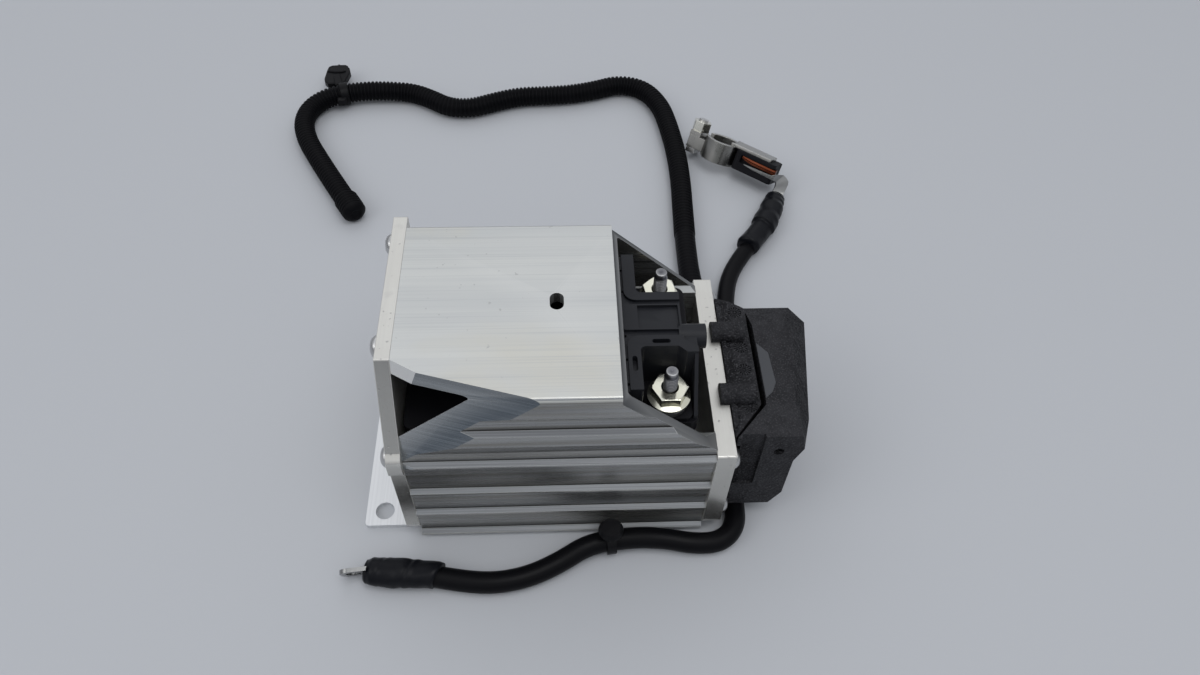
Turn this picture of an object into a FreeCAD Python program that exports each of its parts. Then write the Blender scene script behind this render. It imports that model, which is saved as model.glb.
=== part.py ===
import FreeCAD
import Part

import math
import os
import re
from types import SimpleNamespace

from FreeCAD import Placement, Rotation, Vector

# Car auxiliary battery: a sealed battery in a ribbed aluminium tube between two end plates,
# with a terminal cover, a foam guard and three cables.
# Millimetres, +Z up. The origin is the axis of the base plate's front hole, on the floor.
# +X runs along the tube to the terminals, and +Y to the back.

doc = FreeCAD.newDocument("auxiliary_battery")

SIZES = {
    # Housing tube
    "tube_start": 17.7, "tube_front": -12.4, "tube_length": 125.0, "tube_height": 103.9,
    "plate_depth": 95.5, "back_inset": 6.0, "front_wall": 6.2, "back_wall": 2.2, "top_wall": 5.4,
    "floor_wall": 3.0, "tube_round": 2.5, "cavity_round": 1.5,
    # Ribbed faces of the tube: levels down from its top, then levels up from its foot
    "recess": 2.1, "band_level": 11.5, "groove_high": 15.3, "groove_low": 22.0,
    "rib_high": 23.5, "rib_low": 30.8, "rib_foot": 38.0, "upper_ledge": 45.0,
    "middle_ledge": 37.4, "lower_ledge": 19.5, "foot_ledge": 1.3,
    "ledge_slope": 1.2, "ledge_edge": 1.2, "panel_set_back": 0.8, "back_step": 43.4,
    # Screw ribs inside the tube
    "screw_rib": 4.3, "upper_rib_low": 41.5, "upper_rib_high": 64.0,
    "lower_rib_low": 9.5, "lower_rib_high": 18.5, "port_radius": 4.1,
    # Cuts of the tube; the end slope starts this far before the right end
    "notch_y": 20.2, "notch_z": 42.8, "notch_x": 33.3,
    "shave_y": 17.0, "shave_z": 49.1, "shave_x": 57.9,
    "top_end": 39.6, "slope_top": 3.2, "slope_low": 39.8,
    "slot_x": 62.0, "slot_y": 47.2, "slot_length": 8.5, "slot_width": 5.5,
    # End plates and base plate
    "left_plate": 6.0, "right_plate": 8.0, "right_height": 61.6,
    "plate_round": 9.0, "plate_edge_round": 1.0, "lobe_reach": 1.0, "lobe_low": 49.4,
    "lobe_high": 40.4, "lobe_top": 37.7,
    "base_thick": 2.5, "base_overhang": 26.0, "base_past_tube": 5.0, "base_inset": 5.2,
    "base_back_inset": 8.7, "base_round": 2.0, "base_hole": 8.4,
    # Plate screws
    "screw_shank": 5.0, "screw_head": 9.5, "screw_dome": 2.75, "screw_length": 16.0,
    "screw_flat": 3.8, "screw_shoulder": 7.6, "shoulder_rise": 1.87,
    "screw_socket": 3.0, "socket_depth": 1.6, "screw_inset": 5.5, "head_gap": 0.6, "screw_hole": 5.4,
    "thread_gap": 0.1, "left_screw_z": 59.4, "left_top_front": 30.0, "left_top_back": 11.9,
    "left_top_drop": 5.2, "right_high_drop": 9.1, "low_screw_z": 13.5,
    # Battery: its top lies this far below the tube's, and its ends this far from the tube's
    "case_gap": 1.5, "case_end_gap": 8.0, "case_front": 11.6, "case_back": 8.1,
    "case_drop": 35.9, "case_round": 3.0, "lid_height": 7.0, "lid_lip": 0.7,
    "pad_length": 19.0, "pad_width": 16.8, "pad_thick": 2.5, "boss_height": 4.0, "boss_width": 16.0,
    "terminal_x": 19.3, "terminal_front": 8.2, "terminal_back": 10.6,
    "stud_width": 5.7, "stud_root": 5.2, "stud_height": 20.5, "stud_tip": 4.8, "stud_tip_length": 2.6,
    "nut_flats": 13.0, "nut_flange": 17.5, "flange_thick": 1.8, "flange_rise": 0.8,
    "nut_height": 6.0, "nut_gap": 0.1, "countersink": 7.0, "crown_bevel": 0.26,
    # Terminal cover: places along it are measured back from the tube's right end
    "cover_start": 39.0, "cover_end": 8.1, "cover_front": 11.1, "cover_back": 9.1,
    "deck_height": 22.2, "frame_raise": 1.3, "cover_wall": 2.0, "leg_start": 35.8,
    "well_start": 30.7, "well_end": 15.7, "front_well_back": 31.5, "frame_back": 36.9,
    "shoulder_x": 12.5, "shoulder_y": 28.5, "back_well": 21.1, "back_bar": 25.2,
    "back_bar_end": 13.3, "frame_round": 5.0, "box_start": 37.0, "box_end": 13.7,
    "box_front_gap": 2.9, "box_back_gap": 2.2, "box_round": 1.2, "label_start": 30.8, "label_inset": 0.7,
    "label_depth": 1.5, "slot_depth": 3.0, "bar_slot_start": 26.0, "bar_slot_end": 18.7,
    "bar_slot_y": 34.0, "leg_slot_x": 33.3, "leg_slot_front": 19.7, "leg_slot_back": 26.9,
    "slot_wide": 2.0, "notch_wide": 1.2, "notch_reach": 2.6, "notch_first": 14.4,
    "notch_step": 11.6, "spout_y": 40.0, "spout_width": 10.0, "spout_bore": 6.0,
    "spout_start": 15.0, "spout_end": 4.0, "cheek_thick": 1.5, "cheek_front": 12.6, "cheek_low": 2.5,
    # Foam cap on the right plate: it ends this far from the plate's front and back edges
    "foam_gap": 0.3, "cap_bottom": 32.0, "cap_width": 12.8, "cap_front": 9.0, "cap_back": 12.3,
    "cap_nose": 15.9, "cap_tail": 6.2, "cap_round": 1.5, "rim_wide": 2.0, "rim_raise": 1.2,
    "vent_width": 6.0, "vent_depth": 0.8, "vent_x": 8.2, "vent_first": 24.3, "vent_second": 42.9,
    "vent_third": 55.0, "vent_last": 20.7,
    "hook_width": 9.6, "hook_rise": 5.6, "hook_side": 1.0, "hook_mid": 46.2, "hook_spacing": 33.0,
    "hook_over_plate": 4.0, "hook_length": 14.5,
    # Foam guard: levels below or above the cap's top, and places past the right plate
    "groove": 1.8, "guard_front": 8.0, "guard_back": 11.5, "guard_bottom": 10.0,
    "guard_waist": 17.9, "guard_shoulder": 8.4, "guard_top": 1.6, "guard_wall": 5.5,
    "guard_ceiling": 5.0, "guard_plug": 4.5, "plug_x": 19.3, "plug_drop": 10.0,
    "panel_start": 2.7, "panel_end": 12.2, "panel_low": 28.0, "panel_depth": 1.6,
    "waist_front": 26.7, "waist_nose": 30.2, "waist_tail": 38.2, "waist_back": 32.2,
    "shoulder_front": 29.7, "shoulder_nose": 34.2, "shoulder_tail": 41.7, "shoulder_back": 35.7,
    "roof_front": 27.2, "roof_nose": 26.7, "roof_tail": 32.5, "roof_back": 28.7,
    "nose_y": 22.5, "tail_y": 20.5, "roof_tail_y": 33.5, "roof_back_y": 29.5,
    "foot_inset": 4.5, "foot_rise": 9.5,
    # Cable entry under the guard, cables and what is on them
    "entry_front": 30.0, "entry_back": 19.5, "entry_width": 26.0, "entry_height": 15.0,
    "conduit_width": 12.4, "cable_width": 9.4, "notch_clear": 1.2, "floor_gap": 0.1,
    "conduit_x": 7.7, "sensor_x": 20.5, "cable_x": 8.2,
    "bush_width": 15.0, "bush_length": 15.0, "bush_chamfer": 0.6, "bush_shoulder": 4.1,
    "bush_bend": 12.0, "bush_bend_drop": 1.5, "bush_face": 6.7, "strap_thick": 1.3, "strap_wide": 4.0,
    "clip_plate": 17.5, "clip_thick": 2.6, "clip_round": 3.5, "clip_stem": 5.0, "clip_gap": 5.5,
    "nub_width": 5.0, "nub_reach": 2.0, "lock_length": 7.0, "lock_width": 5.0, "lock_reach": 3.5,
    "clip_along": 10.0, "button_along": 10.3,
    "button_width": 11.0, "button_crown": 8.4, "button_thick": 2.4, "button_stem": 4.0, "button_rise": 4.4,
    "tongue_width": 11.0, "tongue_thick": 1.8, "tongue_length": 13.0, "tongue_root": 3.0,
    "tongue_hole": 6.4, "tongue_round": 3.85, "tongue_level": 5.65, "tongue_tilt": 16.0, "tongue_slant": 0.1,
    # Pole clamp with its current sensor
    "pole_bore": 17.6, "band_thick": 2.5, "band_tall": 13.0, "ear_gap": 6.4, "ear_thick": 2.6,
    "ear_end": 20.8, "ear_low": 1.5, "ear_high": 9.2, "wedge_length": 7.2, "wedge_width": 12.5,
    "wedge_thick": 3.0, "bolt_width": 5.8, "bolt_x": 17.2, "bolt_drop": 3.0, "bolt_rise": 1.2,
    "bolt_head": 5.8, "bolt_gap": 0.1, "clamp_nut": 10.0, "clamp_nut_tall": 6.0,
    "arm_width": 11.0, "arm_thick": 2.0,
    "arm_end": 34.0, "arm_start": 4.0, "module_start": 11.8, "module_end": 38.5,
    "module_width": 13.0, "module_low": 0.8, "module_round": 2.0, "shunt_start": 16.0,
    "shunt_low": 6.0, "shunt_high": 10.5, "shunt_deep": 3.0, "bar_end": 42.0,
    "clamp_x": 179.85, "clamp_y": 234.6, "clamp_turn": -38.0, "clamp_lean": 28.0,
    "lug_out": 4.5, "lug_forward": 2.4, "lug_rise": 1.0, "lug_in_sleeve": 1.0, "drift_turn": 0.04,
}

sheet = doc.addObject("Spreadsheet::Sheet", "sizes")
for row, (alias, value) in enumerate(SIZES.items(), start=1):
    sheet.set(f"A{row}", alias)
    sheet.set(f"B{row}", str(value))
    sheet.setAlias(f"B{row}", alias)
doc.recompute()
d = SimpleNamespace(**{alias: float(sheet.get(alias)) for alias in SIZES})
nodes = {}

# Sizes that follow from the sheet's
TUBE_DEPTH = "plate_depth - back_inset"
CASE_BACK = TUBE_DEPTH + " - case_back"
TUBE_FLOOR = "base_thick + floor_wall"
CASE_TOP = "base_thick + floor_wall + tube_height - case_drop"
PAD_TOP = CASE_TOP + " + pad_thick"
CAP_TOP = "base_thick + right_height + foam_gap"
tube_depth = d.plate_depth - d.back_inset
tube_end = d.tube_start + d.tube_length
case_back = tube_depth - d.case_back
case_top = d.base_thick + d.floor_wall + d.tube_height - d.case_drop
cap_top = d.base_thick + d.right_height + d.foam_gap
guard_x = tube_end + d.right_plate + d.foam_gap


def bind(item, **texts):
    """Bind properties to the sheet; a double underscore stands for the dot in a property's path."""
    for path, text in texts.items():
        words = re.sub(r"[a-z]\w*", lambda m: f"sizes.{m.group()}" if m.group() in SIZES else m.group(), text)
        item.setExpression(path.replace("__", "."), words)
    return item


def place(item, x="0", y="0", z="0", turn=None):
    """Put an object at bound coordinates, turned by a fixed rotation."""
    item.Placement = Placement(Vector(), turn or Rotation())
    return bind(item, Placement__Base__x=x, Placement__Base__y=y, Placement__Base__z=z)


def keep(label, item):
    item.Label = label
    nodes[label] = item
    return item


def box(name, length, width, height, x="0", y="0", z="0"):
    item = bind(doc.addObject("Part::Box", name), Length=length, Width=width, Height=height)
    return place(item, x, y, z)


def cylinder(name, radius, height, x="0", y="0", z="0", turn=None):
    item = bind(doc.addObject("Part::Cylinder", name), Radius=radius, Height=height)
    return place(item, x, y, z, turn)


def fuse(name, *items):
    item = doc.addObject("Part::MultiFuse", name)
    item.Shapes = list(items)
    item.Refine = True
    return item


def cut(name, base, *tools):
    item = doc.addObject("Part::Cut", name)
    item.Base = base
    item.Tool = tools[0] if len(tools) == 1 else fuse(name + "_tools", *tools)
    item.Refine = True
    return item


def feature(name, shape):
    item = doc.addObject("Part::Feature", name)
    item.Shape = shape
    return item


def outline(points):
    """Edges of a closed outline; a point is (u, v), or (u, v, radius) where its corner is round."""
    corners = [Vector(p[0], p[1], 0) for p in points]
    radii = [p[2] if len(p) > 2 else 0 for p in points]
    ends = []
    arcs = []
    for i, corner in enumerate(corners):
        before = (corners[i - 1] - corner).normalize()
        after = (corners[(i + 1) % len(corners)] - corner).normalize()
        half = before.getAngle(after) / 2
        if radii[i] <= 0:
            ends.append((corner, corner))
            arcs.append(None)
            continue
        reach = radii[i] / math.tan(half)
        start = corner + before * reach
        stop = corner + after * reach
        middle_line = (before + after).normalize()
        middle = corner + middle_line * (radii[i] / math.sin(half) - radii[i])
        ends.append((start, stop))
        arcs.append(Part.Arc(start, middle, stop))
    edges = []
    for i, arc in enumerate(arcs):
        if arc:
            edges.append(arc)
        leave = ends[i][1]
        arrive = ends[(i + 1) % len(ends)][0]
        if (arrive - leave).Length > 1e-6:
            edges.append(Part.LineSegment(leave, arrive))
    return edges


def rounded_box(x, y, wide, deep, radius):
    """Outline of a rectangle about a centre, with four round corners."""
    corners = ((-1, -1), (1, -1), (1, 1), (-1, 1))
    return outline([(x + u * wide / 2, y + v * deep / 2, radius) for u, v in corners])


def body(name):
    return doc.addObject("PartDesign::Body", name)


def sketch(owner, role, name, *shapes, level="0"):
    """A sketch on one of the body's own planes, lifted to a level, holding outlines and circles."""
    item = owner.newObject("Sketcher::SketchObject", name)
    plane = next(f for f in owner.Origin.OriginFeatures if f.Role == role)
    item.AttachmentSupport = [(plane, "")]
    item.MapMode = "FlatFace"
    bind(item, AttachmentOffset__Base__z=level)
    for shape in shapes:
        item.addGeometry(shape, False)
    return item


def circles(places, radius):
    return [Part.Circle(Vector(u, v, 0), Vector(0, 0, 1), radius) for u, v in places]


def pad(owner, profile, length, backward=False):
    item = owner.newObject("PartDesign::Pad", profile.Name + "_pad")
    item.Profile = profile
    item.Reversed = backward
    bind(item, Length=length)
    doc.recompute()
    return item


def pocket(owner, profile, depth, backward=False):
    """A pocket that is checked to remove material."""
    before = owner.Shape.Volume
    item = owner.newObject("PartDesign::Pocket", profile.Name + "_pocket")
    item.Profile = profile
    item.Reversed = backward
    bind(item, Length=depth)
    doc.recompute()
    if owner.Shape.Volume > before - 1e-3:
        raise RuntimeError(f"{profile.Name} removes nothing")
    return item


def revolved(name, points):
    """A turned piece about its own vertical axis; the points are (radius, height)."""
    owner = body(name)
    profile = sketch(owner, "XZ_Plane", name + "_profile", outline(points))
    item = owner.newObject("PartDesign::Revolution", name + "_turned")
    item.Profile = profile
    item.ReferenceAxis = (profile, ["V_Axis"])
    item.Angle = 360
    doc.recompute()
    return owner


# Housing tube: a section with ribbed front and back, drawn from its foot at the front plates' line

def ledge(level):
    """One ledge of a ribbed face: sloping top, square edge and set-back panel under it."""
    return [
        (d.recess, level + d.ledge_slope), (0, level), (0, level - d.ledge_edge),
        (d.panel_set_back, level - d.ledge_edge),
    ]


def ribbed_face():
    """Points of the three ledges above the foot, from the top one down, as (depth, level)."""
    levels = (d.tube_height - d.upper_ledge, d.middle_ledge, d.lower_ledge)
    return [point for level in levels for point in ledge(level)]


def tube_outline():
    top = d.tube_height
    front = [
        (0, top, d.tube_round), (0, top - d.band_level), (d.recess, top - d.groove_high),
        (d.recess, top - d.groove_low), (0, top - d.rib_high), (0, top - d.rib_low),
        (d.recess, top - d.rib_foot), *ribbed_face(), (d.recess, d.foot_ledge + d.ledge_slope),
        (0, d.foot_ledge), (0, 0),
    ]
    back_face = [(d.plate_depth - depth, level) for depth, level in reversed(ribbed_face()[1:])]
    back = [
        (d.plate_depth, 0), (d.plate_depth, d.foot_ledge),
        (d.plate_depth - d.recess, d.foot_ledge + d.ledge_slope), *back_face,
        (d.plate_depth - d.recess, top - d.back_step), (tube_depth, top - d.back_step),
        (tube_depth, top, d.cavity_round),
    ]
    return outline(front + back)


def cavity_outline():
    near = d.front_wall
    far = tube_depth - d.back_wall
    roof = d.tube_height - d.top_wall
    far_rib = d.plate_depth - d.front_wall - d.screw_rib
    near_side = [
        (near, d.upper_rib_high + d.screw_rib), (near + d.screw_rib, d.upper_rib_high),
        (near + d.screw_rib, d.upper_rib_low), (near, d.upper_rib_low - d.screw_rib),
        (near, d.lower_rib_high + d.screw_rib), (near + d.screw_rib, d.lower_rib_high),
        (near + d.screw_rib, d.lower_rib_low), (near, d.lower_rib_low - d.screw_rib),
    ]
    far_side = [
        (far, d.lower_rib_low - far + far_rib), (far_rib, d.lower_rib_low),
        (far_rib, d.lower_rib_high), (far, d.lower_rib_high + far - far_rib),
        (far, d.upper_rib_low - far + far_rib), (far_rib, d.upper_rib_low),
        (far_rib, d.upper_rib_high), (far, d.upper_rib_high + far - far_rib),
    ]
    return outline([
        (near, roof, d.cavity_round), *near_side, (near, d.floor_wall, d.cavity_round),
        (far, d.floor_wall, d.cavity_round), *far_side, (far, roof, d.cavity_round),
    ])


def left_screw_places():
    """Screw axes of the left plate, from the tube's front foot, as (depth, level)."""
    top = d.tube_height - d.left_top_drop
    return [
        (d.screw_inset, d.left_screw_z), (d.plate_depth - d.screw_inset, d.left_screw_z),
        (d.left_top_front, top), (d.plate_depth - d.left_top_back, top),
    ]


def right_screw_places():
    return [
        (depth, level) for depth in (d.screw_inset, d.plate_depth - d.screw_inset)
        for level in (d.low_screw_z, d.right_height - d.right_high_drop)
    ]


def corner_cutter(name, leg_x, leg_y, leg_z):
    """A block whose face passes through the ends of three legs drawn from the tube's corner."""
    corner = Vector(0, 0, d.tube_height)
    ends = [corner + Vector(leg_x, 0, 0), corner + Vector(0, leg_y, 0), corner - Vector(0, 0, leg_z)]
    outward = (ends[1] - ends[0]).cross(ends[2] - ends[0]).normalize()
    if outward.dot(corner - ends[0]) < 0:
        outward = outward * -1
    side = 2 * d.tube_height
    block = Part.makeBox(side, side, side, Vector(-side / 2, -side / 2, 0))
    block.Placement = Placement((ends[0] + ends[1] + ends[2]) / 3, Rotation(Vector(0, 0, 1), outward))
    return feature(name, block)


def housing_tube():
    owner = body("tube_body")
    pad(owner, sketch(owner, "YZ_Plane", "tube_section", tube_outline()), "tube_length")
    cavity = sketch(owner, "YZ_Plane", "tube_cavity", cavity_outline())
    pocket(owner, cavity, "tube_length", backward=True)
    high = d.tube_height
    top_length = d.tube_length - d.top_end
    past_end = d.tube_length + d.top_wall
    slope = outline([
        (top_length, high + d.top_wall), (top_length, high - d.slope_top),
        (past_end, high - d.slope_low - d.top_wall), (past_end, high + d.top_wall),
    ])
    slope_pocket = owner.newObject("PartDesign::Pocket", "end_slope_pocket")
    slope_pocket.Profile = sketch(owner, "XZ_Plane", "end_slope", slope)
    slope_pocket.Type = "ThroughAll"
    slope_pocket.Midplane = True
    doc.recompute()
    slot = rounded_box(d.slot_x, d.slot_y, d.slot_width, d.slot_length, d.slot_width / 2)
    pocket(owner, sketch(owner, "XY_Plane", "top_slot", slot, level="tube_height"), "top_wall + cavity_round")
    # Round screw ports under the top wall
    ports = []
    for i, (depth, level) in enumerate(left_screw_places()[2:]):
        port = Part.makeCylinder(d.port_radius, top_length, Vector(0, depth, level), Vector(1, 0, 0))
        ports.append(feature(f"port_{i}", port))
    whole = fuse("tube_with_ports", owner, *ports)
    reach = d.screw_length - d.left_plate + 1
    radius = d.screw_shank / 2 + d.thread_gap
    holes = [
        Part.makeCylinder(radius, reach, Vector(0, depth, level), Vector(1, 0, 0))
        for depth, level in left_screw_places()
    ]
    reach = d.screw_length - d.right_plate + 1
    holes += [
        Part.makeCylinder(radius, reach, Vector(d.tube_length, depth, level), Vector(-1, 0, 0))
        for depth, level in right_screw_places()
    ]
    cutters = [
        corner_cutter("notch_block", d.notch_x, d.notch_y, d.notch_z),
        corner_cutter("shave_block", d.shave_x, d.shave_y, d.shave_z),
        feature("screw_holes", Part.Compound(holes)),
    ]
    shaped = whole
    for cutter in cutters:
        shaped = cut(cutter.Name + "_cut", shaped, cutter)
    return keep("housing_tube", place(shaped, "tube_start", "tube_front", "base_thick"))


def end_plate(label, thick, places, points, x):
    owner = body(label + "_body")
    pad(owner, sketch(owner, "YZ_Plane", label + "_outline", outline(points)), thick)
    holes = sketch(owner, "YZ_Plane", label + "_holes", circles(places, d.screw_hole / 2))
    pocket(owner, holes, thick, backward=True)
    return keep(label, place(owner, x, "tube_front", "base_thick"))


def base_plate():
    owner = body("base_plate_body")
    low_x = d.tube_start - d.base_overhang
    high_x = tube_end + d.base_past_tube
    low_y = d.tube_front + d.base_inset
    high_y = d.tube_front + d.plate_depth - d.base_back_inset
    corners = [(low_x, low_y), (high_x, low_y), (high_x, high_y), (low_x, high_y)]
    plate = outline([(x, y, d.base_round) for x, y in corners])
    pad(owner, sketch(owner, "XY_Plane", "base_outline", plate), "base_thick")
    holes = circles([(0, 0), (0, low_y + high_y)], d.base_hole / 2)
    pocket(owner, sketch(owner, "XY_Plane", "base_holes", holes), "base_thick", backward=True)
    return keep("base_plate", owner)


def plate_screws(label, places, x, outward):
    """Button-head screws with hex sockets; the head's flat face sits on the plate."""
    head = d.screw_head / 2
    shank = d.screw_shank / 2
    crown = Vector(d.screw_flat / 2, 0, d.screw_dome)
    dome_middle = Vector(d.screw_shoulder / 2, 0, d.shoulder_rise)
    profile = Part.Wire([
        Part.makeLine((0, 0, -d.screw_length), (shank, 0, -d.screw_length)),
        Part.makeLine((shank, 0, -d.screw_length), (shank, 0, 0)),
        Part.makeLine((shank, 0, 0), (head, 0, 0)),
        Part.Arc(Vector(head, 0, 0), dome_middle, crown).toShape(),
        Part.makeLine(crown, (0, 0, d.screw_dome)),
        Part.makeLine((0, 0, d.screw_dome), (0, 0, -d.screw_length)),
    ])
    screw = Part.Face(profile).revolve(Vector(), Vector(0, 0, 1), 360)
    corner = d.screw_socket / math.sqrt(3)
    hexagon = [Vector(corner * math.cos(a), corner * math.sin(a), d.screw_dome) for a in
               (math.radians(60 * i) for i in range(7))]
    socket = Part.Face(Part.makePolygon(hexagon)).extrude(Vector(0, 0, -d.socket_depth))
    screw = screw.cut(socket)
    turn = Rotation(Vector(0, 0, 1), Vector(outward, 0, 0))
    screws = []
    for depth, level in places:
        one = screw.copy()
        one.Placement = Placement(Vector(x, d.tube_front + depth, d.base_thick + level), turn)
        screws.append(one)
    return keep(label, feature(label, Part.Compound(screws)))


# Battery: sealed case with its lid, two terminals and their nuts

case_length = d.tube_length - d.case_gap - d.case_end_gap
case_depth = case_back - d.case_front
case_x = d.tube_start + d.case_gap + case_length / 2
case_y = d.tube_front + d.case_front + case_depth / 2
terminal_x = tube_end - d.terminal_x
TERMINAL_Y = {
    "front": "tube_front + case_front + terminal_front",
    "back": f"tube_front + {CASE_BACK} - terminal_back",
}
terminals = {
    "front": d.tube_front + d.case_front + d.terminal_front,
    "back": d.tube_front + case_back - d.terminal_back,
}


def battery_case():
    owner = body("battery_body")
    section = rounded_box(case_x, case_y, case_length, case_depth, d.case_round)
    pad(owner, sketch(owner, "XY_Plane", "case_section", section, level=TUBE_FLOOR),
        "tube_height - case_drop")
    lid = rounded_box(
        case_x, case_y, case_length + 2 * d.lid_lip, case_depth + 2 * d.lid_lip,
        d.case_round + d.lid_lip,
    )
    lid_sketch = sketch(owner, "XY_Plane", "lid_section", lid, level=CASE_TOP + " - lid_height")
    pad(owner, lid_sketch, "lid_height")
    for side, y in terminals.items():
        block = rounded_box(terminal_x, y, d.pad_length, d.pad_width, d.case_round)
        pad(owner, sketch(owner, "XY_Plane", side + "_pad", block, level=CASE_TOP), "pad_thick")
    return keep("battery_case", owner)


def terminal_stud(side):
    """Stud on its round boss; its root is narrower up to the top of the nut."""
    boss = d.boss_width / 2
    root = d.stud_root / 2
    stud = d.stud_width / 2
    tip = d.stud_tip / 2
    thread_start = d.boss_height + d.nut_height
    high = d.stud_height - d.stud_tip_length
    chamfer = (d.stud_width - d.stud_tip) / 4
    owner = revolved(side + "_stud_body", [
        (0, 0), (boss, 0), (boss, d.boss_height), (root, d.boss_height), (root, thread_start),
        (stud, thread_start + stud - root), (stud, high - chamfer), (stud - chamfer, high),
        (tip, high), (tip, d.stud_height - chamfer), (tip - chamfer, d.stud_height), (0, d.stud_height),
    ])
    x = "tube_start + tube_length - terminal_x"
    return keep(side + "_terminal_stud", place(owner, x, TERMINAL_Y[side], PAD_TOP))


def flange_nut(side, turned):
    """Hexagon with chamfered crown on a sloping flange, with a countersunk bore for the stud."""
    flat = d.nut_flats / 2
    corner = d.nut_flats / math.sqrt(3)
    prism = bind(doc.addObject("Part::Prism", side + "_hexagon"), Height="nut_height")
    prism.Polygon = 6
    prism.Circumradius = corner
    drop = (corner - flat) * math.tan(math.radians(30))
    crown_edge = flat - d.crown_bevel
    crown = revolved(side + "_crown", [
        (0, 0), (corner + 1, 0), (corner + 1, d.nut_height - drop),
        (crown_edge, d.nut_height), (0, d.nut_height),
    ])
    hexagon = doc.addObject("Part::MultiCommon", side + "_chamfered_hexagon")
    hexagon.Shapes = [prism, crown]
    flange = revolved(side + "_flange", [
        (0, 0), (d.nut_flange / 2, 0), (d.nut_flange / 2, d.flange_thick - d.flange_rise),
        (flat, d.flange_thick), (0, d.flange_thick),
    ])
    bore = d.stud_width / 2 + d.nut_gap
    sink = d.countersink / 2
    hollow = revolved(side + "_nut_bore", [
        (0, -1), (bore, -1), (bore, d.nut_height - sink + bore), (sink, d.nut_height),
        (sink, d.nut_height + 1), (0, d.nut_height + 1),
    ])
    nut = cut(side + "_nut_bored", fuse(side + "_nut_blank", hexagon, flange), hollow)
    x = "tube_start + tube_length - terminal_x"
    turn = Rotation(Vector(0, 0, 1), turned)
    return keep(side + "_flange_nut", place(nut, x, TERMINAL_Y[side], PAD_TOP + " + boss_height", turn))


# Terminal cover: one moulding with a deck, raised frames, a centre box, two wells and a vent spout

def cover_points():
    """Places on the cover: along the tube from its right end, and across it from its front foot."""
    x = {name: tube_end - getattr(d, name) for name in (
        "cover_start", "cover_end", "leg_start", "well_start", "well_end", "shoulder_x",
        "back_bar_end", "box_start", "box_end", "label_start", "bar_slot_start", "bar_slot_end",
        "leg_slot_x")}
    y = {name: d.tube_front + getattr(d, name) for name in (
        "cover_front", "front_well_back", "frame_back", "shoulder_y", "bar_slot_y",
        "leg_slot_front", "leg_slot_back", "notch_first", "cheek_front")}
    y["cover_back"] = d.tube_front + tube_depth - d.cover_back
    y["back_well_front"] = y["cover_back"] - d.back_well
    y["back_bar_front"] = y["cover_back"] - d.back_bar
    y["box_front"] = y["frame_back"] + d.box_front_gap
    y["box_back"] = y["back_bar_front"] - d.box_back_gap
    return SimpleNamespace(**x), SimpleNamespace(**y)


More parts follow.
